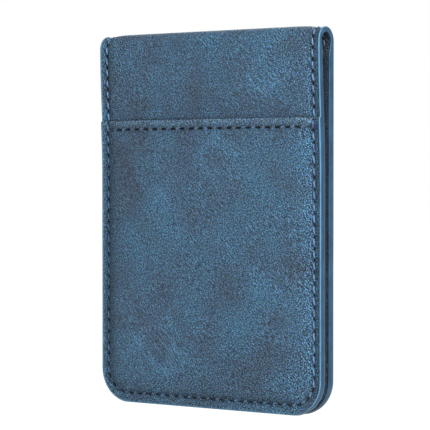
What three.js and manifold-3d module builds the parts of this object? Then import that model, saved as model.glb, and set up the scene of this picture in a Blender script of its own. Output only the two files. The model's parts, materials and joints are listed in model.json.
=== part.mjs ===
import * as THREE from "three";
import { mergeVertices } from "three/addons/utils/BufferGeometryUtils.js";
import Module from "manifold-3d";

// A magnetic card holder for the back of a phone: two stitched leather panels joined by a fold
// at the top, with a card pocket on the front panel. All sizes are in millimetres.
// +Z is up, +X is to the right and the front faces -Y. The origin is the centre of the
// back panel's outer face, the face that clings to the phone.

// Closed holder
const width = 69;
const height = 97.5;
const closedThickness = 6.2;
const foldRadius = 3.52;
const cornerRadius = 8.75;

// Leather, boards and the glue between them
const coverThickness = 0.65;
const liningThickness = 0.6;
const pocketThickness = 0.5;
const backBoardThickness = 0.8;
const frontBoardThickness = 0.35;
const glueLine = 0.05;

// Lean of the front panel between the fold and the straight part below the pocket's mouth
const mouthDrop = 22.7;
const mouthBulge = 0.65;
const leanRun = 15;

// Swelling of the pocket inside its seams
const pocketCrown = 0.6;
const crownMargin = 1.2;
const crownFlank = 7;
const mouthCrownShare = 0.6;

// Run over which the lining steps in from the fold to the board of each panel
const backStepRun = 4;
const frontStepRun = 2;

// Seams
const sideSeamInset = 2.1;
const bottomSeamInset = 2.6;
const mouthSeamDrop = 2.3;
const threadWidth = 0.55;
const threadHeight = 0.2;
const threadSeat = 0.03;
const grooveRoom = 0.05;
const tackWidth = 0.9;

// Creases that part the fold into three stretches
const creaseAngles = [Math.PI / 4, (3 * Math.PI) / 4];
const creaseGap = 0.1;

// Room around each magnet and plate in its board
const seatClearance = 0.3;

// Ring of arc magnets that holds on to the phone
const ringOuterRadius = 26;
const ringBandWidth = 4;
const ringDrop = 43;
const ringMagnetCount = 16;
const ringMagnetGap = 0.4;

// Magnets and steel plates that keep the panels shut
const closureLength = 16;
const closureWidth = 7;
const closureSideInset = 8.5;
const closureLift = 10.5;

// Fineness of curves
const foldSteps = 6;
const cornerSteps = 4;
const ringSteps = 18;
const arcSteps = 2;
const pocketColumns = 20;
const pocketRows = 11;
const leanRows = 4;
const mergeTolerance = 1e-4;
const cutMargin = 2;

// Places that follow from the sizes
const topZ = height / 2;
const bottomZ = -height / 2;
const foldCentreZ = topZ - foldRadius;
const mouthZ = topZ - mouthDrop;
const leanEndZ = mouthZ - leanRun;
const pocketLift = pocketThickness + glueLine;
const lowerFaceY = -(closedThickness - pocketLift);
const mouthFaceY = lowerFaceY - mouthBulge;
const foldLiningDepth = coverThickness + glueLine;
const backLiningDepth = foldLiningDepth + backBoardThickness + glueLine;
const frontLiningDepth = foldLiningDepth + frontBoardThickness + glueLine;
const creaseHalfAngle = creaseGap / (2 * foldRadius);
const ringCentreZ = topZ - ringDrop;
const ringInnerRadius = ringOuterRadius - ringBandWidth;
const closureX = width / 2 - closureSideInset - closureLength / 2;
const closureZ = bottomZ + closureLift;
const mouthSeamZ = mouthZ - mouthSeamDrop;
const threadFoot = threadSeat + threadHeight;
const grooveDepth = threadFoot + threadSeat;
const seamX = width / 2 - sideSeamInset;
const crownEdgeX = seamX - crownMargin;
const crownEdgeZ = bottomZ + bottomSeamInset + crownMargin;

const wasm = await Module();
wasm.setup();

const AXIS_X = new THREE.Vector3(1, 0, 0);
const AXIS_Y = new THREE.Vector3(0, 1, 0);
const AXIS_Z = new THREE.Vector3(0, 0, 1);

// Turns a closed geometry into a solid that can be joined, cut and intersected
function solidOf(geometry) {
  const bare = new THREE.BufferGeometry();
  bare.setAttribute("position", geometry.getAttribute("position"));
  bare.setIndex(geometry.index);
  const merged = mergeVertices(bare, mergeTolerance);
  const mesh = new wasm.Mesh({
    numProp: 3,
    vertProperties: merged.getAttribute("position").array,
    triVerts: new Uint32Array(merged.index.array),
  });
  return new wasm.Manifold(mesh);
}

// Turns a solid back into a geometry
function geometryOf(solid) {
  const mesh = solid.getMesh();
  const indexed = new THREE.BufferGeometry();
  indexed.setAttribute("position", new THREE.BufferAttribute(mesh.vertProperties, 3));
  indexed.setIndex(new THREE.BufferAttribute(mesh.triVerts, 1));
  const geometry = indexed.toNonIndexed();
  geometry.computeVertexNormals();
  return geometry;
}

// Lays a shape drawn in Y and Z along X, from one x to another
function alongX(shape, fromX, toX) {
  const settings = { depth: toX - fromX, bevelEnabled: false, curveSegments: cornerSteps };
  const geometry = new THREE.ExtrudeGeometry(shape, settings);
  geometry.applyMatrix4(new THREE.Matrix4().makeBasis(AXIS_Y, AXIS_Z, AXIS_X));
  geometry.translate(fromX, 0, 0);
  return geometry;
}

// Lays a shape drawn in X and Z along Y, from its front y to its back y
function alongY(shape, frontY, backY, steps = cornerSteps) {
  const settings = { depth: backY - frontY, bevelEnabled: false, curveSegments: steps };
  const geometry = new THREE.ExtrudeGeometry(shape, settings);
  const basis = new THREE.Matrix4().makeBasis(AXIS_X, AXIS_Z, AXIS_Y.clone().negate());
  geometry.applyMatrix4(basis);
  geometry.translate(0, backY, 0);
  return geometry;
}

// Outer face of the front panel's cover leather at a height
function frontFaceY(z) {
  if (z >= mouthZ) {
    return THREE.MathUtils.mapLinear(z, foldCentreZ, mouthZ, -2 * foldRadius, mouthFaceY);
  }
  if (z >= leanEndZ) {
    return THREE.MathUtils.mapLinear(z, mouthZ, leanEndZ, mouthFaceY, lowerFaceY);
  }
  return lowerFaceY;
}

// Stations along the leather's section: each gives the point at a depth under the outer face
const backAt = (z) => (depth) => new THREE.Vector2(-depth, z);
const frontAt = (z) => (depth) => new THREE.Vector2(frontFaceY(z) + depth, z);
const foldAt = (angle) => (depth) =>
  new THREE.Vector2(
    (foldRadius - depth) * Math.cos(angle) - foldRadius,
    (foldRadius - depth) * Math.sin(angle) + foldCentreZ,
  );

// Evenly spaced numbers from one end to the other, both included
function spread(from, to, steps) {
  return Array.from({ length: steps + 1 }, (_, i) => from + ((to - from) * i) / steps);
}

// Stations over part of the fold
function foldStations(fromAngle, toAngle) {
  return spread(fromAngle, toAngle, foldSteps).map((angle) => foldAt(angle));
}

// Closed section between two rows of points that run the same way
function sectionBetween(outerPoints, innerPoints) {
  return new THREE.Shape([...outerPoints, ...[...innerPoints].reverse()]);
}

// Section of a sheet of even thickness along a row of stations
function sheetSection(stations, outerDepth, thickness) {
  const outer = stations.map((station) => station(outerDepth));
  const inner = stations.map((station) => station(outerDepth + thickness));
  return sectionBetween(outer, inner);
}

// Outline of a panel, square above and with round corners below, drawn in by two insets
function panelOutline(sideInset, bottomInset, outlineTopZ) {
  const x = width / 2 - sideInset;
  const low = bottomZ + bottomInset;
  const r = cornerRadius - (sideInset + bottomInset) / 2;
  const shape = new THREE.Shape();
  shape.moveTo(-x, outlineTopZ);
  shape.lineTo(-x, low + r);
  shape.absarc(r - x, low + r, r, Math.PI, 1.5 * Math.PI, false);
  shape.absarc(x - r, low + r, r, 1.5 * Math.PI, 2 * Math.PI, false);
  shape.lineTo(x, outlineTopZ);
  shape.closePath();
  return shape;
}

// Rectangle about a centre
function rectangle(centreX, centreZ, length, tallness) {
  const x = length / 2;
  const z = tallness / 2;
  return new THREE.Shape([
    new THREE.Vector2(centreX - x, centreZ - z),
    new THREE.Vector2(centreX + x, centreZ - z),
    new THREE.Vector2(centreX + x, centreZ + z),
    new THREE.Vector2(centreX - x, centreZ + z),
  ]);
}

// Full circle about a centre
function disc(centreX, centreZ, radius) {
  const shape = new THREE.Shape();
  shape.absarc(centreX, centreZ, radius, 0, 2 * Math.PI, false);
  return shape;
}

const outlineFrontY = -closedThickness - cutMargin - 2 * foldRadius;
const outlineBackY = cutMargin;
const outlineTopZ = topZ + cutMargin;

// Block with the panels' outline, that trims every leather layer to the same edge
const trimBlock = solidOf(alongY(panelOutline(0, 0, outlineTopZ), outlineFrontY, outlineBackY));

// Block with the outline of the seam: a band that runs down, round and up
function seamBlock(bandWidth) {
  const half = bandWidth / 2;
  const outer = panelOutline(sideSeamInset - half, bottomSeamInset - half, outlineTopZ);
  const inner = panelOutline(sideSeamInset + half, bottomSeamInset + half, outlineTopZ + cutMargin);
  const outerSolid = solidOf(alongY(outer, outlineFrontY, outlineBackY));
  const innerSolid = solidOf(alongY(inner, outlineFrontY - cutMargin, outlineBackY + cutMargin));
  return outerSolid.subtract(innerSolid);
}
const threadBlock = seamBlock(threadWidth);
const grooveBlock = seamBlock(threadWidth + 2 * grooveRoom);

// Slab of a section that runs past both side edges
function wideSlab(section) {
  return solidOf(alongX(section, -width / 2 - cutMargin, width / 2 + cutMargin));
}

// Groove that the seam lies in, along a row of stations and down from a depth
function seamGroove(stations, surfaceDepth) {
  const section = sheetSection(stations, surfaceDepth - cutMargin, cutMargin + grooveDepth);
  return wideSlab(section).intersect(grooveBlock);
}

// Leather layer cut from its section by the panels' outline
function leatherLayer(section) {
  return wideSlab(section).intersect(trimBlock);
}

// Seam thread cut from its section by the seam's outline
function seamThread(section) {
  return geometryOf(wideSlab(section).intersect(threadBlock));
}

// Named mesh with a material of its own
function piece(name, geometry, color, roughness, metalness) {
  const material = new THREE.MeshStandardMaterial({ color, roughness, metalness });
  const mesh = new THREE.Mesh(geometry, material);
  mesh.name = name;
  return mesh;
}

const leatherPiece = (name, geometry) => piece(name, geometry, 0x42668a, 0.55, 0);
const liningPiece = (name, geometry) => piece(name, geometry, 0x2c4560, 0.7, 0);
const threadPiece = (name, geometry) => piece(name, geometry, 0x3c5fa8, 0.6, 0);
const boardPiece = (name, geometry) => piece(name, geometry, 0x8a8378, 0.9, 0);
const magnetPiece = (name, geometry) => piece(name, geometry, 0xb9bcc0, 0.3, 1);

// Stretches of the cover and of the lining: the back panel's, the fold's and the front panel's
const [backCrease, frontCrease] = creaseAngles;
const backFold = foldStations(0, backCrease - creaseHalfAngle);
const spineFold = foldStations(backCrease + creaseHalfAngle, frontCrease - creaseHalfAngle);
const frontFold = foldStations(frontCrease + creaseHalfAngle, Math.PI);
const frontLean = [frontAt(mouthZ), frontAt(leanEndZ), frontAt(bottomZ - cutMargin)];

const backStations = [backAt(bottomZ - cutMargin), ...backFold];
const thumbStations = [...frontFold, frontAt(mouthZ)];

// Cover leather of one stretch, with the seam's groove along some of its stations
function coverGeometry(stations, grooveStations) {
  const layer = leatherLayer(sheetSection(stations, 0, coverThickness));
  return geometryOf(layer.subtract(seamGroove(grooveStations, 0)));
}

// Lining of the back panel, which steps in over the board's top edge
function liningBackSection() {
  const stepEndZ = foldCentreZ - backStepRun;
  const row = (extra) => [
    backAt(bottomZ - cutMargin)(backLiningDepth + extra),
    backAt(stepEndZ)(backLiningDepth + extra),
    ...backFold.map((station) => station(foldLiningDepth + extra)),
  ];
  return sectionBetween(row(0), row(liningThickness));
}

// Lining of the front panel, which steps in over its own board
function liningFrontSection() {
  const stepEndZ = foldCentreZ - frontStepRun;
  const row = (extra) => [
    ...frontFold.map((station) => station(foldLiningDepth + extra)),
    frontAt(stepEndZ)(frontLiningDepth + extra),
    ...frontLean.map((station) => station(frontLiningDepth + extra)),
  ];
  return sectionBetween(row(0), row(liningThickness));
}

// Smooth rise from 0 to 1 over a run
function rise(distance, run) {
  return THREE.MathUtils.smoothstep(distance, 0, run);
}

// How far the pocket swells away from the cover at a place on its face
function crownAt(x, z) {
  const r = cornerRadius - (sideSeamInset + bottomSeamInset) / 2;
  const overX = Math.abs(x) - (seamX - r);
  const overZ = bottomZ + bottomSeamInset + r - z;
  const fromCorner = Math.hypot(Math.max(overX, 0), Math.max(overZ, 0));
  const insideSeam = r - fromCorner - Math.min(Math.max(overX, overZ), 0);
  const towardsMouth = THREE.MathUtils.lerp(mouthCrownShare, 1, rise(mouthZ - z, leanRun));
  return pocketCrown * rise(insideSeam - crownMargin, crownFlank) * towardsMouth;
}

// Inner and outer face of the pocket's leather
const pocketInnerY = (x, z) => frontFaceY(z) - glueLine - crownAt(x, z);
const pocketOuterY = (x, z) => pocketInnerY(x, z) - pocketThickness;

// Closed sheet over a grid of x and z, between a front face and a back face
function gridSheet(xs, zs, frontY, backY) {
  const columns = xs.length;
  const rows = zs.length;
  const layer = columns * rows;
  const positions = [];
  for (const faceY of [frontY, backY]) {
    for (const z of zs) {
      for (const x of xs) {
        positions.push(x, faceY(x, z), z);
      }
    }
  }
  const at = (column, row) => row * columns + column;
  const index = [];
  for (let row = 0; row < rows - 1; row += 1) {
    for (let column = 0; column < columns - 1; column += 1) {
      const a = at(column, row);
      const b = at(column + 1, row);
      const c = at(column + 1, row + 1);
      const d = at(column, row + 1);
      index.push(a, b, c, a, c, d);
      index.push(a + layer, c + layer, b + layer, a + layer, d + layer, c + layer);
    }
  }
  const rim = [
    ...xs.map((_, column) => at(column, 0)),
    ...zs.slice(1).map((_, row) => at(columns - 1, row + 1)),
    ...xs.slice(1).map((_, column) => at(columns - 2 - column, rows - 1)),
    ...zs.slice(1, -1).map((_, row) => at(0, rows - 2 - row)),
  ];
  rim.forEach((a, place) => {
    const b = rim[(place + 1) % rim.length];
    index.push(a, a + layer, b + layer, a, b + layer, b);
  });
  const geometry = new THREE.BufferGeometry();
  geometry.setAttribute("position", new THREE.Float32BufferAttribute(positions, 3));
  geometry.setIndex(index);
  return geometry;
}

// Rows and columns of the pocket, with lines where the crown starts and where the lean ends
const pocketHeights = [
  bottomZ - cutMargin,
  ...spread(crownEdgeZ, leanEndZ, pocketRows).slice(0, -1),
  ...spread(leanEndZ, mouthZ, leanRows),
];
const swellPlaces = spread(-crownEdgeX, crownEdgeX, pocketColumns);
const pocketPlaces = [-width / 2 - cutMargin, ...swellPlaces, width / 2 + cutMargin];

// Pocket leather, crowned inside its seams and open at the mouth
function pocketGeometry() {
  const sheet = solidOf(gridSheet(pocketPlaces, pocketHeights, pocketOuterY, pocketInnerY));
  const stations = [frontAt(mouthZ + cutMargin), ...frontLean];
  const groove = seamGroove(stations, -pocketLift);
  return geometryOf(sheet.intersect(trimBlock).subtract(groove));
}

// Stitched line under the pocket's mouth
function mouthSeamGeometry() {
  const half = threadWidth / 2;
  const zs = [mouthSeamZ - half, mouthSeamZ + half];
  const seatY = (x, z) => pocketOuterY(x, z) - threadSeat;
  return gridSheet(swellPlaces, zs, (x, z) => seatY(x, z) - threadHeight, seatY);
}

// Short bar of thread that locks the mouth's seam at the panel's right edge
function mouthTackGeometry() {
  const half = tackWidth / 2;
  const xs = [seamX + threadWidth, width / 2 - threadWidth];
  const zs = [mouthSeamZ - half, mouthSeamZ + half];
  const seatY = (x, z) => pocketOuterY(x, z) - threadSeat;
  return gridSheet(xs, zs, (x, z) => seatY(x, z) - threadHeight, seatY);
}

// Section of the front seam: in the cover above the mouth, in the pocket below it
function frontSeamSection() {
  const above = [...frontFold, frontAt(mouthZ + threadWidth)];
  const below = [frontAt(mouthZ + threadSeat), frontAt(leanEndZ), frontAt(bottomZ)];
  const outer = [
    ...above.map((station) => station(threadSeat)),
    frontAt(mouthZ + threadWidth)(threadSeat - pocketLift),
    ...below.map((station) => station(threadSeat - pocketLift)),
  ];
  const inner = [
    ...above.map((station) => station(threadFoot)),
    frontAt(mouthZ + threadSeat)(threadFoot),
    ...below.map((station) => station(threadFoot - pocketLift)),
  ];
  return sectionBetween(outer, inner);
}

// Short stretch of the seam that crosses the fold on one side
function spineSeamGeometry(side) {
  const half = threadWidth / 2;
  const section = sheetSection(spineFold, threadSeat, threadHeight);
  return alongX(section, side * seamX - half, side * seamX + half);
}

// Outline of the opening for a closure bar
function closureOpening(side) {
  const length = closureLength + 2 * seatClearance;
  const tallness = closureWidth + 2 * seatClearance;
  return rectangle(side * closureX, closureZ, length, tallness);
}

// Board between a panel's cover and lining, thinned to a wedge where the lining steps in over it
function boardGeometry(stationAt, lowerHeights, stepRun, liningDepth, openings) {
  const top = stationAt(foldCentreZ - stepRun / 2);
  const lower = [foldCentreZ - stepRun, ...lowerHeights].map((z) => stationAt(z));
  const outer = [top, ...lower].map((station) => station(foldLiningDepth));
  const inner = [
    top((foldLiningDepth + liningDepth) / 2 - glueLine),
    ...lower.map((station) => station(liningDepth - glueLine)),
  ];
  const section = sectionBetween(outer, inner);
  const cut = openings.reduce((board, opening) => {
    const tool = alongY(opening, outlineFrontY, outlineBackY, ringSteps);
    return board.subtract(solidOf(tool));
  }, leatherLayer(section));
  return geometryOf(cut);
}

// Front and back faces of the layer that holds the back panel's board and magnets
const backBoardY = [-foldLiningDepth - backBoardThickness, -foldLiningDepth];

// One arc magnet of the ring, centred on the ring's own centre
function ringMagnetGeometry() {
  const halfPitch = Math.PI / ringMagnetCount;
  const outerHalf = halfPitch - ringMagnetGap / (2 * ringOuterRadius);
  const innerHalf = halfPitch - ringMagnetGap / (2 * ringInnerRadius);
  const shape = new THREE.Shape();
  shape.absarc(0, 0, ringOuterRadius, -outerHalf, outerHalf, false);
  shape.absarc(0, 0, ringInnerRadius, innerHalf, -innerHalf, true);
  shape.closePath();
  return alongY(shape, ...backBoardY, arcSteps);
}

// Flat bar, centred on its own middle
function barGeometry(frontY, backY) {
  return alongY(rectangle(0, 0, closureLength, closureWidth), frontY, backY);
}

const holder = new THREE.Group();
const backPanel = new THREE.Group();
const spine = new THREE.Group();
const frontPanel = new THREE.Group();
holder.add(backPanel, spine, frontPanel);

backPanel.add(
  leatherPiece("cover_back", coverGeometry(backStations, backStations)),
  liningPiece("lining_back", geometryOf(leatherLayer(liningBackSection()))),
  boardPiece(
    "back_board",
    boardGeometry(backAt, [bottomZ - cutMargin], backStepRun, backLiningDepth, [
      disc(0, ringCentreZ, ringOuterRadius + seatClearance),
      ...[-1, 1].map(closureOpening),
    ]),
  ),
);

spine.add(
  leatherPiece("cover_spine", coverGeometry(spineFold, spineFold)),
  liningPiece(
    "lining_spine",
    geometryOf(leatherLayer(sheetSection(spineFold, foldLiningDepth, liningThickness))),
  ),
);

frontPanel.add(
  leatherPiece("cover_front", coverGeometry([...frontFold, ...frontLean], thumbStations)),
  leatherPiece("front_pocket", pocketGeometry()),
  liningPiece("lining_front", geometryOf(leatherLayer(liningFrontSection()))),
  boardPiece(
    "front_board",
    boardGeometry(
      frontAt,
      [mouthZ, leanEndZ, bottomZ - cutMargin],
      frontStepRun,
      frontLiningDepth,
      [-1, 1].map(closureOpening),
    ),
  ),
);

// Seams
const backSeamSection = sheetSection(backStations, threadSeat, threadHeight);
backPanel.add(threadPiece("seam_back", seamThread(backSeamSection)));
spine.add(
  threadPiece("seam_spine_left", spineSeamGeometry(-1)),
  threadPiece("seam_spine_right", spineSeamGeometry(1)),
);
frontPanel.add(
  threadPiece("seam_front", seamThread(frontSeamSection())),
  threadPiece("seam_mouth", mouthSeamGeometry()),
  threadPiece("mouth_tack", mouthTackGeometry()),
);

// Magnet ring and the disc of board inside it
const ring = new THREE.Group();
ring.position.z = ringCentreZ;
backPanel.add(ring);
const fillerShape = disc(0, 0, ringInnerRadius - seatClearance);
ring.add(boardPiece("ring_filler", alongY(fillerShape, ...backBoardY, ringSteps)));
for (let place = 0; place < ringMagnetCount; place += 1) {
  const label = String(place + 1).padStart(2, "0");
  const magnet = magnetPiece("ring_magnet_" + label, ringMagnetGeometry());
  magnet.rotation.y = -(2 * Math.PI * place) / ringMagnetCount;
  ring.add(magnet);
}

// Closure magnets in the back panel and the steel plates they pull on in the front panel
const plateFrontY = frontFaceY(closureZ) + foldLiningDepth;
for (const [side, label] of [[-1, "left"], [1, "right"]]) {
  const magnet = magnetPiece("closure_magnet_" + label, barGeometry(...backBoardY));
  const plate = magnetPiece(
    "closure_plate_" + label,
    barGeometry(plateFrontY, plateFrontY + frontBoardThickness),
  );
  for (const bar of [magnet, plate]) {
    bar.position.set(side * closureX, 0, closureZ);
  }
  backPanel.add(magnet);
  frontPanel.add(plate);
}

export default holder;
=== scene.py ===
"""Dresses a magnetic phone card holder in mottled blue leather, edge paint and stitched thread."""

import json
import logging
import math
from dataclasses import dataclass, field
from enum import Enum

import bpy
import numpy as np
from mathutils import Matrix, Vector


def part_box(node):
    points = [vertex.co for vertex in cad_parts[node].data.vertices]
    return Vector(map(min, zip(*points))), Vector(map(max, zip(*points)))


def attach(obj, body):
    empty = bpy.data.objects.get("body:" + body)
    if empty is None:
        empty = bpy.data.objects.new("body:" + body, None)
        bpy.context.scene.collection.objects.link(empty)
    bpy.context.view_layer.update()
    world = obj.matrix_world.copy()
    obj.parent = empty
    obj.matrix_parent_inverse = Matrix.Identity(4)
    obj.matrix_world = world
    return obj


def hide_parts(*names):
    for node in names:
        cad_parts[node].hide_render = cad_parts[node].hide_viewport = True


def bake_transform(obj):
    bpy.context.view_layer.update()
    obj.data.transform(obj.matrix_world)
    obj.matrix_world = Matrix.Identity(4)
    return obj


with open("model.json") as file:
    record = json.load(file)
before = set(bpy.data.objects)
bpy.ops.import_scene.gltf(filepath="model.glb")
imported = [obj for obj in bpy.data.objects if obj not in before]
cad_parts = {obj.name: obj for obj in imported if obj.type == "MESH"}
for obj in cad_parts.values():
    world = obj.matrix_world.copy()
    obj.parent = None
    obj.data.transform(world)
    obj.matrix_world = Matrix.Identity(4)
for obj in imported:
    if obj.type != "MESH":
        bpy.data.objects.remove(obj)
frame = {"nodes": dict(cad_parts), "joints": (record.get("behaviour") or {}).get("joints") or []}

MM = 0.001
LOG = logging.getLogger("card_holder")

Colour = tuple[float, float, float]
Array = np.ndarray


class Side(Enum):
    """The two halves of the holder, each named by the body that it hangs on."""

    BACK = "back_panel"
    FRONT = "front_panel"


class Face(Enum):
    """The two faces of a leather layer."""

    OUTER = 1.0
    INNER = -1.0


class Space(Enum):
    """The dimensions that a noise fills."""

    FLAT = "2D"
    SOLID = "3D"


def from_srgb(red: int, green: int, blue: int) -> Colour:
    """Turns a display colour into a linear one, by the standard display curve.

    Args:
        red: Display value from 0 to 255.
        green: Display value from 0 to 255.
        blue: Display value from 0 to 255.

    Returns:
        The three linear values, from 0 to 1.
    """
    parts = np.array([red, green, blue]) / 255.0
    linear = np.where(parts <= 0.04045, parts / 12.92, ((parts + 0.055) / 1.055) ** 2.4)
    return tuple(float(part) for part in linear)


def smooth_rise(distance: Array, run: float) -> Array:
    """Rises from 0 to 1 over a run.

    Args:
        distance: How far along the run each point lies, in metres.
        run: Length of the rise, in metres.

    Returns:
        t squared times (3 - 2 t), where t is the share of the run, kept from 0 to 1.
    """
    share = np.clip(distance / run, 0.0, 1.0)
    return share * share * (3.0 - 2.0 * share)


def settle(distance: Array, run: float) -> Array:
    """Rises steeply from 0 and settles towards 1: one less an exponential decay.

    Args:
        distance: How far from the start each point lies, in metres.
        run: Distance over which most of the rise is done, in metres.

    Returns:
        The share of the rise, 0 before the start.
    """
    return 1.0 - np.exp(-np.maximum(distance, 0.0) / run)


def bell(distance: Array, width: float) -> Array:
    """A bell curve of height 1 about zero."""
    return np.exp(-((distance / width) ** 2))


@dataclass(frozen=True)
class HolderSizes:
    """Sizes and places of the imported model, in metres."""

    half_width: float
    bottom: float
    top: float
    fold_radius: float
    mouth: float
    mouth_seam: float
    seam_x: float
    corner_radius: float = 8.75 * MM
    closed_thickness: float = 6.2 * MM
    cover: float = 0.65 * MM
    lining: float = 0.6 * MM
    pocket: float = 0.5 * MM
    back_board: float = 0.8 * MM
    front_board: float = 0.35 * MM
    glue: float = 0.05 * MM
    back_step_run: float = 4.0 * MM
    front_step_run: float = 2.0 * MM
    lean_end_below_mouth: float = 15.0 * MM
    side_seam_inset: float = 2.1 * MM
    bottom_seam_inset: float = 2.6 * MM
    stitch_pitch: float = 2.96 * MM

    @classmethod
    def from_frame(cls) -> "HolderSizes":
        """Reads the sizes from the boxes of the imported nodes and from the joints.

        Returns:
            The sizes. The fold's radius is the hinges' mean distance behind the back's
            outer face.
        """
        cover_low, cover_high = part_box("cover_back")
        hinge_ys = [joint["pos_m"][1] for joint in frame["joints"]]
        mouth_low, mouth_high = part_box("seam_mouth")
        tack_low, tack_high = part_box("seam_spine_right")
        return cls(
            half_width=cover_high[0],
            bottom=cover_low[2],
            top=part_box("cover_spine")[1][2],
            fold_radius=-sum(hinge_ys) / 2,
            mouth=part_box("front_pocket")[1][2],
            mouth_seam=(mouth_low[2] + mouth_high[2]) / 2,
            seam_x=(tack_low[0] + tack_high[0]) / 2,
        )

    @property
    def fold_z(self) -> float:
        """Height of the fold's centre."""
        return self.top - self.fold_radius

    @property
    def quarter(self) -> float:
        """Length of the leather's outer face from the crown to the start of a panel."""
        return self.fold_radius * math.pi / 2

    @property
    def tall(self) -> float:
        """Length of a panel's outer face from its bottom edge up to the crown."""
        return self.fold_z - self.bottom + self.quarter

    @property
    def mouth_up(self) -> float:
        """Distance of the pocket's mouth above the bottom edge."""
        return self.mouth - self.bottom

    @property
    def pocket_lift(self) -> float:
        """Thickness that the pocket adds in front of the cover."""
        return self.pocket + self.glue

    @property
    def lower_face(self) -> float:
        """Distance of the front cover's straight part in front of the back's outer face."""
        return self.closed_thickness - self.pocket_lift

    @property
    def fold_lining_depth(self) -> float:
        """Depth of the lining's outer face at the fold."""
        return self.cover + self.glue


@dataclass(frozen=True)
class LeatherRun:
    """Turns places on the flat leather into places on the folded holder."""

    sizes: HolderSizes

    def front_face(self, z: Array) -> Array:
        """Distance of the front cover's outer face in front of the back's, at each height.

        Args:
            z: Heights in the frame.

        Returns:
            The distances. The face stands two fold radii out at the fold and eases in to the
            straight part below the mouth, along a smooth rise.
        """
        sizes = self.sizes
        low = sizes.mouth - sizes.lean_end_below_mouth
        lean = 2 * sizes.fold_radius - sizes.lower_face
        return sizes.lower_face + lean * smooth_rise(z - low, sizes.fold_z - low)

    def place(self, side: Side, x: Array, up: Array, depth: Array) -> Array:
        """Places points of the flat leather on the folded holder.

        Args:
            side: The panel that the leather belongs to.
            x: Distance to the right of the middle.
            up: Distance above the bottom edge, measured along the leather's outer face.
            depth: Distance under the leather's outer face.

        Returns:
            Points as rows of x, y and z. Above a panel's straight part the leather follows a
            circle about the fold's centre, a quarter turn long; below, it goes straight down.
        """
        sizes = self.sizes
        run = sizes.tall - up
        sign = 1.0 if side is Side.BACK else -1.0
        angle = np.clip(run, 0.0, sizes.quarter) / sizes.fold_radius
        radius = sizes.fold_radius - depth
        fold_y = sign * radius * np.sin(angle) - sizes.fold_radius
        fold_z = radius * np.cos(angle) + sizes.fold_z
        leg_z = sizes.fold_z - (run - sizes.quarter)
        leg_y = -depth if side is Side.BACK else depth - self.front_face(leg_z)
        on_fold = run < sizes.quarter
        y = np.where(on_fold, fold_y, leg_y)
        z = np.where(on_fold, fold_z, leg_z)
        return np.stack(np.broadcast_arrays(x, y, z), axis=-1)

    def hide(self, side: Side, x: Array, up: Array, depth: Array) -> Array:
        """Gives each point's place on the one flat hide that both covers are cut from.

        Args:
            side: The panel that the leather belongs to.
            x: Distance to the right of the middle.
            up: Distance above the bottom edge.
            depth: Distance under the leather's outer face.

        Returns:
            Rows of the distance to the right, the distance up from the crown, below 0 on
            the front panel, and the depth.
        """
        run = self.sizes.tall - up
        along = run if side is Side.FRONT else -run
        return np.stack(np.broadcast_arrays(x, -along, depth), axis=-1)


@dataclass(frozen=True)
class SeamLine:
    """The stitch line of a panel: down one side, round the bottom and up the other side."""

    sizes: HolderSizes

    @property
    def radius(self) -> float:
        """Radius of the stitch line's corners."""
        sizes = self.sizes
        return sizes.corner_radius - (sizes.side_seam_inset + sizes.bottom_seam_inset) / 2

    @property
    def centre_x(self) -> float:
        """Distance of a corner's centre from the middle."""
        return self.sizes.seam_x - self.radius

    @property
    def centre_up(self) -> float:
        """Distance of a corner's centre above the bottom edge."""
        return self.sizes.bottom_seam_inset + self.radius

    @property
    def lengths(self) -> tuple[float, float, float]:
        """Measures the line.

        Returns:
            Lengths of one side, of one corner, a quarter circle, and of the whole line.
        """
        side = self.sizes.tall - self.centre_up
        corner = self.radius * math.pi / 2
        return side, corner, 2 * (side + corner + self.centre_x)

    @property
    def count(self) -> int:
        """Number of stitches between the two ends of the line at the crown."""
        return round(self.lengths[2] / self.sizes.stitch_pitch)

    @property
    def pitch(self) -> float:
        """Length of one stitch with its gap."""
        return self.lengths[2] / self.count

    def at(self, along: Array) -> tuple[Array, Array]:
        """Points and directions of the line.

        Args:
            along: Distances from the left end at the crown.

        Returns:
            Points as rows of x and up, and unit directions as rows of the same two. The sides
            and the bottom are straight, and the corners are quarter circles.
        """
        side, corner, whole = self.lengths
        flipped = along > whole / 2
        near = np.where(flipped, whole - along, along)
        turn = np.clip((near - side) / self.radius, 0.0, math.pi / 2)
        past = np.maximum(near - side - corner, 0.0)
        x = -self.centre_x - self.radius * np.cos(turn) + past
        up = self.centre_up - self.radius * np.sin(turn) + np.maximum(side - near, 0.0)
        mirror = np.where(flipped, -1.0, 1.0)
        points = np.stack([mirror * x, up], axis=-1)
        directions = np.stack([np.sin(turn), -mirror * np.cos(turn)], axis=-1)
        return points, directions

    def nearest(self, x: Array, up: Array) -> tuple[Array, Array]:
        """Distance inside the line and distance along it for points of a panel.

        Args:
            x: Distance to the right of the middle.
            up: Distance above the bottom edge.

        Returns:
            How far inside the line each point lies, and where along the line it is nearest. The
            line is a rectangle with round corners, so the distance is the radius less the
            length from a corner's centre, or the distance from the nearer straight part.
        """
        side, corner, whole = self.lengths
        over_x = np.abs(x) - self.centre_x
        over_up = self.centre_up - up
        from_corner = np.hypot(np.maximum(over_x, 0), np.maximum(over_up, 0))
        inside = self.radius - from_corner - np.minimum(np.maximum(over_x, over_up), 0)
        turn = np.arctan2(np.maximum(over_up, 0), np.maximum(over_x, 1e-9))
        on_side = self.sizes.tall - up
        on_corner = side + self.radius * turn
        on_bottom = side + corner - over_x
        near = np.where(over_up < 0, on_side, np.where(over_x < 0, on_bottom, on_corner))
        return inside, np.where(x <= 0, near, whole - near)


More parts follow.
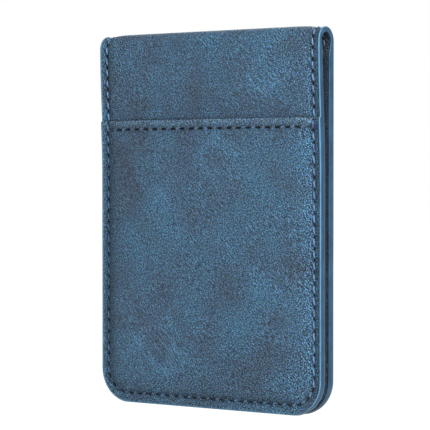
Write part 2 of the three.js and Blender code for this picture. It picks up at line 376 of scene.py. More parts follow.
@dataclass(frozen=True)
class PanelPlan:
    """A flat grid with a panel's outline: rows that follow the edge, round a plain middle."""

    half_width: float
    tall: float
    corner: float
    step: float
    insets: tuple[float, ...]
    top_insets: tuple[float, ...] = ()
    corner_steps: int = 20

    def side_ups(self) -> Array:
        """Heights of the rows above the corners.

        Returns:
            Even steps up to the first of the top insets, and then one row at each of these.
        """
        last = max(self.top_insets, default=0.0)
        count = max(2, round((self.tall - last - self.corner) / self.step))
        even = np.linspace(self.corner, self.tall - last, count + 1)
        extra = self.tall - np.array(sorted(self.top_insets, reverse=True)[1:] + [0.0])
        return np.concatenate([even, extra]) if self.top_insets else even

    def rim(self) -> tuple[Array, Array]:
        """Points of the edge and the directions that point out of it.

        Returns:
            Points and unit directions as rows of x and up, from the top of the left side down,
            round the bottom and up the right side.
        """
        ups = self.side_ups()
        reach = self.half_width - self.corner
        count = max(2, round(2 * reach / self.step))
        xs = np.linspace(-reach, reach, count + 1)
        angles = np.linspace(math.pi, 1.5 * math.pi, self.corner_steps + 2)[1:-1]
        bend = np.stack([np.cos(angles), np.sin(angles)], axis=-1)
        left = np.stack([np.full_like(ups, -self.half_width), ups[::-1]], axis=-1)
        low = np.stack([xs, np.zeros_like(xs)], axis=-1)
        left_bend = np.array([-reach, self.corner]) + self.corner * bend
        mirror = np.array([-1.0, 1.0])
        points = [left, left_bend, low, (left_bend * mirror)[::-1], (left * mirror)[::-1]]
        outs = [
            np.broadcast_to([-1.0, 0.0], left.shape),
            bend,
            np.broadcast_to([0.0, -1.0], low.shape),
            (bend * mirror)[::-1],
            np.broadcast_to([1.0, 0.0], left.shape),
        ]
        return np.concatenate(points), np.concatenate(outs)

    def grid(self) -> tuple[Array, Array, Array]:
        """Points, faces and boundary of the whole plan.

        Returns:
            Points as rows of x and up, faces as rows of four point numbers, and the numbers of
            the points round the boundary, counter-clockwise. Each row that follows the edge is
            the edge moved in by its inset, and the last one is the outline of the middle, whose
            corners are points. There a face repeats a point and is a triangle.
        """
        rim, out = self.rim()
        ups = self.side_ups()
        reach = self.half_width - self.corner
        xs = rim[(rim[:, 1] < 1e-9), 0]
        band = rim[None] - np.array(self.insets)[:, None, None] * out[None]
        rows, around = len(self.insets), len(rim)
        band_ids = np.arange(rows * around).reshape(rows, around)
        middle = np.stack(np.meshgrid(np.clip(xs, -reach, reach), ups), axis=-1)
        middle_ids = rows * around + np.arange(middle[..., 0].size).reshape(middle.shape[:2])
        bend = np.full(self.corner_steps, 1)
        inner = np.concatenate([
            middle_ids[::-1, 0],
            bend * middle_ids[0, 0],
            middle_ids[0],
            bend * middle_ids[0, -1],
            middle_ids[:, -1],
        ])
        ids = np.vstack([band_ids, inner])
        faces = np.concatenate([quads_of(ids), quads_of(middle_ids)])
        boundary = np.concatenate([
            ids[0],
            ids[1:-1, -1],
            middle_ids[-1, ::-1],
            ids[-2:0:-1, 0],
        ])
        return np.concatenate([band.reshape(-1, 2), middle.reshape(-1, 2)]), faces, boundary


def quads_of(ids: Array) -> Array:
    """Faces between the neighbouring rows and columns of a grid of point numbers."""
    low, high = ids[:-1], ids[1:]
    return np.stack([low[:, :-1], low[:, 1:], high[:, 1:], high[:, :-1]], axis=-1).reshape(-1, 4)


@dataclass
class Form:
    """A mesh in the making: its points, faces and the values kept at each point."""

    points: Array
    faces: list[Array]
    hide: Array
    values: dict[str, Array] = field(default_factory=dict)

    def build(self, name: str, material: bpy.types.Material) -> bpy.types.Object:
        """Makes the mesh object.

        Args:
            name: The piece's name.
            material: Its finish.

        Returns:
            The new object, at the origin, with its place in its mesh.
        """
        mesh = bpy.data.meshes.new(name)
        faces = []
        for group in self.faces:
            if group.shape[1] == 4:
                triangle = group[:, 2] == group[:, 3]
                faces += group[triangle, :3].tolist() + group[~triangle].tolist()
            else:
                faces += group.tolist()
        mesh.from_pydata(self.points.tolist(), [], faces)
        hide = mesh.attributes.new("hide", "FLOAT_VECTOR", "POINT")
        hide.data.foreach_set("vector", self.hide.astype(np.float32).ravel())
        for key, values in self.values.items():
            layer = mesh.attributes.new(key, "FLOAT", "POINT")
            layer.data.foreach_set("value", values.astype(np.float32).ravel())
        mesh.polygons.foreach_set("use_smooth", np.ones(len(mesh.polygons), dtype=bool))
        mesh.validate()
        mesh.update()
        mesh.materials.append(material)
        piece = bpy.data.objects.new(name, mesh)
        bpy.context.scene.collection.objects.link(piece)
        LOG.info("%s: %d faces", name, len(mesh.polygons))
        return piece


def shell_faces(faces: Array, boundary: Array, count: int, flip: bool) -> list[Array]:
    """Faces of a closed sheet with an outer and an inner layer of points.

    Args:
        faces: Faces of one layer, counter-clockwise seen from outside.
        boundary: Numbers of the points round the layer's edge, counter-clockwise.
        count: Number of points in a layer.
        flip: True where the plan is seen from behind.

    Returns:
        The faces of both layers and of the wall between them.
    """
    following = np.roll(boundary, -1)
    back = np.stack([faces[:, 1], faces[:, 0], faces[:, 3], faces[:, 2]], axis=-1) + count
    triangle = faces[:, 2] == faces[:, 3]
    back[triangle] = (
        np.stack([faces[:, 1], faces[:, 0], faces[:, 2], faces[:, 2]], axis=-1)[triangle] + count
    )
    wall = np.stack([boundary, boundary + count, following + count, following], axis=-1)
    groups = [faces, back, wall]
    return [turn_over(group) for group in groups] if flip else groups


def tube_faces(rings: int, sides: int, count: int = 1) -> list[Array]:
    """Faces of a row of closed tubes.

    Args:
        rings: Number of rings along a tube.
        sides: Number of points in a ring.
        count: Number of tubes.

    Returns:
        The faces along the tubes and those that close their ends.
    """
    ids = np.arange(rings * sides).reshape(rings, sides)
    closed = np.hstack([ids, ids[:, :1]])
    offsets = np.arange(count)[:, None, None] * ids.size
    walls = (quads_of(closed)[None] + offsets).reshape(-1, 4)
    ends = (np.stack([ids[0, ::-1], ids[-1]])[None] + offsets).reshape(-1, sides)
    return [walls, ends]


def turn_over(group: Array) -> Array:
    """Turns faces over.

    Args:
        group: Faces as rows of four point numbers, the last two equal in a triangle.

    Returns:
        The faces in the other direction, with a repeated point still in the last two places.
    """
    turned = group[:, ::-1].copy()
    triangle = group[:, 2] == group[:, 3]
    turned[triangle] = group[triangle][:, [1, 0, 2, 2]]
    return turned


@dataclass
class FoldRider:
    """Bakes the transforms of pieces that run over the fold; it bends nothing."""

    sizes: HolderSizes
    inside: float = 1.3 * MM

    def bend(self, piece: bpy.types.Object, side: Side) -> None:
        """Bakes a piece's transform into its mesh; the piece is not bent.

        Args:
            piece: A piece that runs from the crown down a panel.
            side: The panel.
        """
        if side is Side.BACK:
            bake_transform(piece)
        else:
            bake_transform(piece)


def edge_round(inset: Array, radius: float) -> Array:
    """How far a rounded edge lies under the face: a quarter circle over its radius."""
    short = np.clip(radius - inset, 0.0, radius)
    return radius - np.sqrt(radius * radius - short * short)


def edge_distance(plan: PanelPlan, x: Array, up: Array) -> Array:
    """Distance of each point of a plan from its side and bottom edges.

    Args:
        plan: The plan, a rectangle with round lower corners.
        x: Distance to the right of the middle.
        up: Distance above the bottom edge.

    Returns:
        The corner's radius less the length from its centre, or the distance from the nearer
        straight edge.
    """
    over_x = np.abs(x) - (plan.half_width - plan.corner)
    over_up = plan.corner - up
    from_corner = np.hypot(np.maximum(over_x, 0), np.maximum(over_up, 0))
    return plan.corner - from_corner - np.minimum(np.maximum(over_x, over_up), 0)


EDGE_ROWS = tuple(
    value * MM
    for value in (
        0.0, 0.03, 0.09, 0.17, 0.28, 0.5, 0.8, 1.1, 1.4, 1.65, 1.9, 2.1, 2.3, 2.55, 2.8,
        3.1, 3.45, 3.85, 4.3, 4.8, 5.4, 6.1, 6.9, 7.8,
    )
)
LINING_ROWS = tuple(value * MM for value in (0.0, 0.04, 0.12, 0.3, 0.8, 1.4, 2.1, 2.8, 4.0, 6.0))


@dataclass(frozen=True)
class Patch:
    """A soft patch of the hide: its middle under the crown and its reach in mm, and its tone."""

    x: float
    below: float
    reach: float
    tone: float


PATCHES = (
    Patch(0.0, 26.0, 5.0, -0.5),
    Patch(-20.0, 27.0, 7.0, -0.7),
    Patch(21.0, 28.0, 7.0, -0.5),
    Patch(-25.0, 40.0, 6.0, -0.8),
    Patch(0.0, 47.0, 6.0, -0.7),
    Patch(-13.0, 73.0, 7.0, -0.9),
    Patch(-3.0, 86.0, 7.0, -0.8),
    Patch(-18.0, 56.0, 8.0, 0.8),
    Patch(17.0, 46.0, 9.0, 0.9),
    Patch(14.0, 79.0, 7.0, 0.7),
    Patch(-22.0, 62.0, 5.0, 0.5),
    Patch(20.0, 9.0, 6.0, 0.3),
    Patch(-26.0, 16.0, 7.0, -0.4),
)


PULLED = (
    Patch(-15.0, 84.0, 9.0, 1.0),
    Patch(-24.0, 73.0, 6.0, 0.5),
    Patch(17.0, 15.0, 9.0, 0.6),
    Patch(4.0, 36.0, 9.0, 0.6),
    Patch(-12.0, 44.0, 8.0, 0.5),
    Patch(24.0, 70.0, 8.0, 0.4),
    Patch(-20.0, 10.0, 9.0, 0.4),
    Patch(10.0, -40.0, 16.0, 0.7),
)


def patch_tone(patches: tuple[Patch, ...], x: Array, along: Array) -> Array:
    """Tone of the hide's patches, below 0 where dark and above 0 where light.

    Args:
        patches: The patches.
        x: Distance to the right of the middle.
        along: Distance up from the crown, below 0 on the front panel.

    Returns:
        The sum of the patches, each a round bell curve.
    """
    tone = np.zeros_like(x)
    for patch in patches:
        away = np.hypot(x - patch.x * MM, along + patch.below * MM)
        tone += patch.tone * bell(away, patch.reach * MM)
    return tone


@dataclass
class LeatherLayer:
    """One leather sheet of a panel, with its stitched groove and swelling."""

    side: Side
    sizes: HolderSizes
    thickness: float
    groove: float = 0.2 * MM
    groove_width: float = 0.55 * MM
    valley: float = 0.2 * MM
    valley_width: float = 1.7 * MM
    pucker: float = 0.4
    swell: float = 0.3 * MM
    swell_run: float = 2.2 * MM
    # Widths of the painted shade along the seam and of the lighter cut edge, which is partly wear
    # and partly a painted highlight.
    painted_shade_width: float = 0.5 * MM
    wear_and_highlight_width: float = 0.9 * MM
    edge_radius: float = 0.28 * MM
    step: float = 0.49 * MM
    rows: tuple[float, ...] = EDGE_ROWS
    top_rows: tuple[float, ...] = ()

    @property
    def tall(self) -> float:
        """Length of the sheet, from the bottom edge to the crown."""
        return self.sizes.tall

    def plan(self) -> PanelPlan:
        """The sheet's flat grid."""
        size = (self.sizes.half_width, self.tall, self.sizes.corner_radius)
        return PanelPlan(*size, self.step, self.rows, self.top_rows)

    def base_depth(self, x: Array, up: Array) -> Array:
        """Depth of the sheet's outer face before any groove, swelling or rounding."""
        return np.zeros(np.broadcast(x, up).shape)

    def swelling(self, x: Array, up: Array) -> Array:
        """How far the sheet swells inside its seam.

        Args:
            x: Distance to the right of the middle.
            up: Distance above the bottom edge.

        Returns:
            The swelling, which rises most steeply at the seam and settles inwards.
        """
        inside, _ = SeamLine(self.sizes).nearest(x, up)
        return self.swell * settle(inside, self.swell_run)

    def seam_dip(self, x: Array, up: Array) -> Array:
        """How deep the stitches pull the sheet in, deepest at the needle holes.

        Args:
            x: Distance to the right of the middle.
            up: Distance above the bottom edge.

        Returns:
            The depth of the groove: a narrow bell curve lies in a wide one, and a cosine along
            the line deepens the narrow one at the holes.
        """
        line = SeamLine(self.sizes)
        inside, along = line.nearest(x, up)
        beat = 1.0 - self.pucker * np.cos(2 * math.pi * along / line.pitch)
        narrow = self.groove * bell(inside, self.groove_width) * beat
        return narrow + self.valley * bell(inside, self.valley_width)

    def painted_shade(self, x: Array, up: Array) -> Array:
        """How much painted shade darkens the sheet along its seam: 1 on the seam, fading to both
        sides.
        """
        inside, _ = SeamLine(self.sizes).nearest(x, up)
        return bell(inside, self.painted_shade_width)

    def wear_and_highlight(self, x: Array, up: Array) -> Array:
        """How much the sheet is lightened at its cut edge, partly wear and partly a painted
        highlight: 1 at the edge, fading inwards.
        """
        return 1.0 - smooth_rise(edge_distance(self.plan(), x, up), self.wear_and_highlight_width)

    def surface_depth(self, x: Array, up: Array) -> Array:
        """Depth of the sheet's outer face with its groove and swelling."""
        return self.base_depth(x, up) + self.seam_dip(x, up) - self.swelling(x, up)

    def inner_depth(self, x: Array, up: Array) -> Array:
        """Depth of the sheet's inner face."""
        return self.base_depth(x, up) + self.thickness

    def form(self) -> Form:
        """Builds the closed sheet.

        Returns:
            The outer face on the plan's points, the inner face under it and the wall round
            both, with the values that the leather's finish reads.
        """
        plan = self.plan()
        points, faces, boundary = plan.grid()
        x, up = points[:, 0], points[:, 1]
        inset = edge_distance(plan, x, up)
        outer = self.surface_depth(x, up) + edge_round(inset, self.edge_radius)
        inner = self.inner_depth(x, up)
        run = LeatherRun(self.sizes)
        places = [run.place(self.side, x, up, depth) for depth in (outer, inner)]
        hides = [run.hide(self.side, x, up, depth) for depth in (outer, inner)]
        groups = shell_faces(faces, boundary, len(points), self.side is Side.BACK)
        flat = run.hide(self.side, x, up, outer)
        # Darkening along the seams is painted shade; the lighter cut edge is partly wear and
        # partly a painted highlight.
        values = {
            "painted_shade": self.painted_shade(x, up),
            "wear_and_highlight": self.wear_and_highlight(x, up),
            "patch": patch_tone(PATCHES, flat[:, 0], flat[:, 1]),
            "pulled": patch_tone(PULLED, flat[:, 0], flat[:, 1]),
        }
        layers = {key: np.tile(value, 2) for key, value in values.items()}
        return Form(np.concatenate(places), groups, np.concatenate(hides), layers)


@dataclass
class PocketLayer(LeatherLayer):
    """The pocket's leather on the front panel, open at its mouth."""

    swell: float = 1.35 * MM
    swell_run: float = 3.0 * MM
    mouth_share: float = 0.5
    mouth_run: float = 14.0 * MM
    dip_share: float = 0.6
    top_rows: tuple[float, ...] = tuple(
        value * MM for value in (0.04, 0.1, 0.18, 0.3, 0.6, 1.0, 1.4, 1.8, 2.1, 2.3, 2.5, 2.8, 3.4)
    )
    hem_groove: float = 0.24 * MM
    hem_valley: float = 0.1 * MM
    hem_valley_width: float = 0.85 * MM
    # Width of the painted shade along the seam under the mouth.
    hem_painted_shade_width: float = 0.4 * MM
    hem_fade: float = 0.8 * MM
    # Width of the lighter lip, partly wear and partly a painted highlight.
    lip_width: float = 2.4 * MM

    @property
    def tall(self) -> float:
        """Length of the pocket, from the bottom edge to the mouth."""
        return self.sizes.mouth_up

    def base_depth(self, x: Array, up: Array) -> Array:
        """The pocket's outer face lies in front of the cover."""
        return np.full(np.broadcast(x, up).shape, -self.sizes.pocket_lift)

    def swelling(self, x: Array, up: Array) -> Array:
        """How far the pocket swells inside its seam.

        Args:
            x: Distance to the right of the middle.
            up: Distance above the bottom edge.

        Returns:
            The sheet's swelling, times a share that falls towards the mouth.
        """
        below = self.sizes.mouth_up - up
        share = self.mouth_share + (1 - self.mouth_share) * smooth_rise(below, self.mouth_run)
        return super().swelling(x, up) * share

    def hem_place(self, x: Array, up: Array) -> tuple[Array, Array]:
        """Distance above the seam under the mouth, and a share that fades at its two ends."""
        away = up - (self.sizes.mouth_seam - self.sizes.bottom)
        return away, smooth_rise(self.sizes.seam_x - np.abs(x), self.hem_fade)

    def hem_dip(self, x: Array, up: Array) -> Array:
        """How deep the seam under the mouth pulls the pocket in.

        As along the edge, a narrow bell curve lies in a wide one, and a cosine along the seam
        deepens the narrow one at the needle holes.

        Args:
            x: Distance to the right of the middle.
            up: Distance above the bottom edge.

        Returns:
            The depth of the groove, which fades out at the two side seams.
        """
        away, within = self.hem_place(x, up)
        beat = 1.0 - self.pucker * np.cos(2 * math.pi * x / self.sizes.stitch_pitch)
        narrow = self.hem_groove * bell(away, self.groove_width) * beat
        return within * (narrow + self.hem_valley * bell(away, self.hem_valley_width))

    def painted_shade(self, x: Array, up: Array) -> Array:
        """The seam under the mouth gets painted shade like the others."""
        away, within = self.hem_place(x, up)
        return np.maximum(super().painted_shade(x, up), within * bell(away, self.hem_painted_shade_width))

    def wear_and_highlight(self, x: Array, up: Array) -> Array:
        """The mouth's lip is lightened too, partly wear and partly a painted highlight."""
        lip = 1.0 - smooth_rise(self.sizes.mouth_up - up, self.lip_width)
        return np.maximum(super().wear_and_highlight(x, up), lip)

    def surface_depth(self, x: Array, up: Array) -> Array:
        """Depth of the pocket's outer face.

        Args:
            x: Distance to the right of the middle.
            up: Distance above the bottom edge.

        Returns:
            The sheet's depth, with the hem's groove, rounded over at the mouth's edge.
        """
        below = self.sizes.mouth_up - up
        rounding = edge_round(below, self.edge_radius)
        return super().surface_depth(x, up) + self.hem_dip(x, up) + rounding

    def inner_depth(self, x: Array, up: Array) -> Array:
        """The pocket keeps its thickness under its swelling, so cards fit behind it."""
        sunk = self.dip_share * (self.seam_dip(x, up) + self.hem_dip(x, up))
        return self.base_depth(x, up) + self.thickness + sunk - self.swelling(x, up)


@dataclass
class FrontCoverLayer(LeatherLayer):
    """The front cover, with painted shade in the corner over the pocket's mouth."""

    shade_width: float = 0.45 * MM

    def painted_shade(self, x: Array, up: Array) -> Array:
        """Adds painted shade in the corner over the mouth to the painted shade along the seam."""
        over = np.maximum(up - self.sizes.mouth_up, 0.0)
        return np.maximum(super().painted_shade(x, up), bell(over, self.shade_width))


@dataclass
class LiningLayer(LeatherLayer):
    """The lining inside a panel, whose good face looks into the fold."""

    groove: float = 0.1 * MM
    valley: float = 0.0
    swell: float = 0.0
    step: float = 0.8 * MM
    rows: tuple[float, ...] = LINING_ROWS

    def base_depth(self, x: Array, up: Array) -> Array:
        """The lining steps in from the fold over the top of the panel's board.

        Args:
            x: Distance to the right of the middle.
            up: Distance above the bottom edge.

        Returns:
            The depth at the fold, and below it the board's thickness more, along a smooth rise.
        """
        sizes = self.sizes
        back = self.side is Side.BACK
        board = sizes.back_board if back else sizes.front_board
        step_run = sizes.back_step_run if back else sizes.front_step_run
        below_fold = sizes.tall - sizes.quarter - up
        shape = np.zeros(np.broadcast(x, up).shape)
        return shape + sizes.fold_lining_depth + (board + sizes.glue) * smooth_rise(
            below_fold, step_run
        )

    def surface_depth(self, x: Array, up: Array) -> Array:
        """The lining's outer face is glued flat."""
        return self.base_depth(x, up)

    def inner_depth(self, x: Array, up: Array) -> Array:
        """The lining's good face, with the seam's groove."""
        return self.base_depth(x, up) + self.thickness - self.seam_dip(x, up)


@dataclass
class EdgePaint:
    """The painted edge of a panel: a thin coat that holds the cut layers together."""

    side: Side
    sizes: HolderSizes
    coat: float = 0.07 * MM
    bulge: float = 0.12 * MM
    lap: float = 0.34 * MM
    rounding: float = 0.3 * MM
    step: float = 0.49 * MM
    mouth_run: float = 0.5 * MM
    lap_lift: float = 0.4
    # Width of the lighter paint by the outer face, partly wear and partly a painted highlight.
    shoulder: float = 0.25 * MM
    turn_points: int = 6
    belly_shares: tuple[float, ...] = (0.15, 0.325, 0.5, 0.675, 0.85)

    def front_depth(self, up: Array) -> Array:
        """Depth of the panel's outer face along its edge.

        Args:
            up: Distance above the bottom edge.

        Returns:
            The depth, which steps out by the pocket's thickness below its mouth.
        """
        if self.side is Side.BACK:
            return np.zeros_like(up)
        below = self.sizes.mouth_up - up + self.mouth_run / 2
        return -self.sizes.pocket_lift * smooth_rise(below, self.mouth_run)

    def back_depth(self, up: Array) -> Array:
        """Depth of the panel's inner face along its edge."""
        lining = LiningLayer(self.side, self.sizes, self.sizes.lining)
        return lining.base_depth(np.zeros_like(up), up) + self.sizes.lining

    def section(self, front: Array, back: Array) -> tuple[Array, Array]:
        """Section of the coat at each place along the edge.

        Args:
            front: Depth of the outer face at each place.
            back: Depth of the inner face at each place.

        Returns:
            How far out of the edge, and how deep, each point of the section lies. The coat laps
            onto both faces, turns both corners on quarter circles and bulges between them.
        """
        turn = np.linspace(0.0, math.pi / 2, self.turn_points)
        lead = self.rounding * np.sin(turn) - self.rounding + self.coat
        drop = self.rounding * (1 - np.cos(turn)) - self.coat
        rise = np.array(self.belly_shares)
        belly = self.bulge * np.sin(math.pi * rise)
        outs = np.concatenate([
            [-self.lap], lead, belly + self.coat, lead[::-1], [-self.lap],
            [-self.lap, -self.coat, -self.coat, -self.lap],
        ])
        tall = (back - front)[:, None]
        front, back = front[:, None], back[:, None]
        start = front + drop[-1]
        end = back - drop[-1]
        wide = np.ones_like(tall)
        depths = np.concatenate([
            front - self.lap_lift * self.coat * wide,
            front + drop[None],
            start + (end - start) * rise[None],
            back - drop[None, ::-1],
            back + self.lap_lift * self.coat * wide,
            back - self.coat * wide,
            back - (self.coat + self.rounding / 2) * wide,
            front + (self.coat + self.rounding / 2) * wide,
            front + self.coat * wide,
        ], axis=1)
        return np.broadcast_to(outs, depths.shape), depths

    def form(self) -> Form:
        """Builds the closed coat.

        Returns:
            The section swept round the panel's edge from crown to crown, with its ends
            closed.
        """
        sizes = self.sizes
        plan = PanelPlan(sizes.half_width, sizes.tall, sizes.corner_radius, self.step, (0.0,))
        rim, out = plan.rim()
        outs, depths = self.section(self.front_depth(rim[:, 1]), self.back_depth(rim[:, 1]))
        x = rim[:, :1] + outs * out[:, :1]
        up = rim[:, 1:] + outs * out[:, 1:]
        run = LeatherRun(sizes)
        points = run.place(self.side, x, up, depths).reshape(-1, 3)
        groups = tube_faces(*outs.shape)
        if self.side is Side.FRONT:
            groups = [group[:, ::-1] for group in groups]
        along = np.cumsum(np.hypot(*np.diff(rim, axis=0, prepend=rim[:1]).T))
        hide = np.stack([
            np.broadcast_to(along[:, None], depths.shape), depths, outs,
        ], axis=-1).reshape(-1, 3)
        # The paint is lighter by the outer face's corner: partly wear, partly a painted highlight.
        from_face = np.abs(depths - self.front_depth(up))
        wear_and_highlight = np.clip(1.0 - from_face / self.shoulder, 0, 1)
        return Form(points, groups, hide, {"wear_and_highlight": wear_and_highlight.ravel()})


@dataclass(frozen=True)
class StitchShape:
    """The form of a stitch: a twisted strand that dives into a hole at each end."""

    radius: float = 0.25 * MM
    rise: float = 0.2 * MM
    sink: float = 0.28 * MM
    slant: float = 0.16 * MM
    share: float = 0.8
    level_share: float = 0.5
    taper: float = 0.75
    flatness: float = 0.75
    ply_depth: float = 0.14
    ply_turns: float = 1.6
    rings: int = 13
    sides: int = 10

    def local(self, length: float) -> tuple[Array, Array, Array]:
        """Points of one stitch about its middle.

        Args:
            length: The stitch's pitch.

        Returns:
            Distances along the line, across it and above the face, as rings by sides. The
            middle line is an arch that slants across the seam, and two plies twist round it.
        """
        share = np.linspace(-1.0, 1.0, self.rings)[:, None]
        turn = np.linspace(0.0, 2 * math.pi, self.sides, endpoint=False)[None]
        twist = math.pi * self.ply_turns * share
        thin = np.sqrt(np.clip(1.0 - self.taper * share**4, 0.0, 1.0))
        radius = self.radius * thin * (1 + self.ply_depth * np.cos(2 * (turn - twist)))
        along = 0.5 * length * self.share * share + 0 * turn
        across = self.slant * share + radius * np.cos(turn)
        arch = self.rise * (1 - share**2) - self.sink * share**4
        above = arch + self.flatness * radius * np.sin(turn)
        return along, across, above


@dataclass
class Seam:
    """A row of stitches on a face of a leather layer, and the needle holes between them."""

    layer: LeatherLayer
    face: Face
    shape: StitchShape = field(default_factory=StitchShape)
    # The holes are coloured with painted shade; level holes are longer, so that it reads as dark
    # dashes along level seams.
    hole_long: float = 0.55 * MM
    level_hole_long: float = 0.85 * MM
    # Strength and place of the thread's painted highlight.
    highlight_strength: float = 1.0
    highlight_shift: float = 0.08
    highlight_width: float = 0.2
    hole_wide: float = 0.36 * MM
    hole_rings: tuple[float, float] = (1.0, 0.55)
    hole_dip: float = 0.025 * MM
    hole_sheet: float = 0.05 * MM
    hole_sides: int = 12

    @property
    def mirrored(self) -> bool:
        """True where the plan is seen from behind, so that faces have to be turned over."""
        return (self.layer.side is Side.BACK) != (self.face is Face.INNER)

    def face_depth(self, x: Array, up: Array) -> Array:
        """Depth of the face that the stitches lie on.

        Args:
            x: Distance to the right of the middle.
            up: Distance above the bottom edge.

        Returns:
            The depth of the layer's outer or inner face.
        """
        if self.face is Face.OUTER:
            return self.layer.surface_depth(x, up)
        return self.layer.inner_depth(x, up)

    @staticmethod
    def spots(
        centres: Array, directions: Array, along: Array, across: Array
    ) -> tuple[Array, Array]:
        """Places the points of each stitch or hole on the flat leather.

        Args:
            centres: Middles, as rows of x and up.
            directions: Unit directions of the line there.
            along: Distance of each point along the line from its middle.
            across: Distance of each point across the line.

        Returns:
            The points' places on the line and their own places: the middle plus along times
            the direction, plus across times the direction turned by a right angle.
        """
        sideways = np.stack([-directions[:, 1], directions[:, 0]], axis=-1)
        line = centres[:, None, None] + along[..., None] * directions[:, None, None]
        return line, line + across[..., None] * sideways[:, None, None]

    def lay(self, centres: Array, directions: Array, pitch: float) -> Form:
        """Lays stitches at their places.

        Args:
            centres: Middles of the stitches, as rows of x and up.
            directions: Unit directions of the line there.
            pitch: Length of one stitch with its gap.

        Returns:
            All the stitches as one form, each on its own stretch of the face.
        """
        along, across, above = self.shape.local(pitch)
        level = np.abs(directions[:, :1, None])
        along = along[None] * (1.0 - (1.0 - self.shape.level_share) * level)
        line, flat = self.spots(centres, directions, along, across[None])
        x, up = flat[..., 0], flat[..., 1]
        base = self.face_depth(line[..., 0], line[..., 1])
        depth = base - self.face.value * above[None]
        run = LeatherRun(self.layer.sizes)
        points = run.place(self.layer.side, x, up, depth).reshape(-1, 3)
        lengthways = np.arange(len(centres))[:, None, None] * pitch + along
        twist = np.broadcast_to(
            np.linspace(0.0, 1.0, self.shape.sides, endpoint=False)[None, None] * MM, x.shape
        )
        hide = np.stack([lengthways, twist, above[None] + 0 * x], axis=-1).reshape(-1, 3)
        # Painted highlight on the thread: full along upright stitches, and on level stitches only
        # in a spot just before their middle.
        middle = bell(along / pitch + self.highlight_shift, self.highlight_width)
        wear_and_highlight = self.highlight_strength * ((1.0 - level) + level * middle) * np.ones_like(x)
        groups = tube_faces(self.shape.rings, self.shape.sides, len(centres))
        if self.mirrored:
            groups = [group[:, ::-1] for group in groups]
        return Form(points, groups, hide, {"wear_and_highlight": wear_and_highlight.ravel()})

    def holes(self, centres: Array, directions: Array) -> Form:
        """Needle holes as shallow dimples, coloured dark with painted shade.

        Args:
            centres: Middles of the holes, as rows of x and up.
            directions: Unit directions of the line there.

        Returns:
            All the holes as one form: each is a flat lens with an oval outline.
        """
        turn = np.linspace(0.0, 2 * math.pi, self.hole_sides, endpoint=False)
        rings = np.array(self.hole_rings)[:, None]
        level = np.abs(directions[:, 0])
        longs = self.hole_long + (self.level_hole_long - self.hole_long) * level
        along = longs[:, None, None] * (np.cos(turn)[None] * rings)[None]
        across = self.hole_wide * np.sin(turn)[None] * rings
        _, flat = self.spots(centres, directions, along, across[None])
        x, up = flat[..., 0], flat[..., 1]
        lift = np.array([0.0, self.hole_dip])[None, :, None]
        depth = self.face_depth(x, up) - self.face.value * lift
        under = depth[:, :1] + self.face.value * self.hole_sheet
        x = np.concatenate([x[:, :1], x], axis=1)
        up = np.concatenate([up[:, :1], up], axis=1)
        depth = np.concatenate([under, depth], axis=1)
        run = LeatherRun(self.layer.sizes)
        points = run.place(self.layer.side, x, up, depth).reshape(-1, 3)
        groups = tube_faces(x.shape[1], self.hole_sides, len(centres))
        if self.mirrored:
            groups = [group[:, ::-1] for group in groups]
        hide = np.stack([x, up, depth], axis=-1).reshape(-1, 3)
        return Form(points, groups, hide)


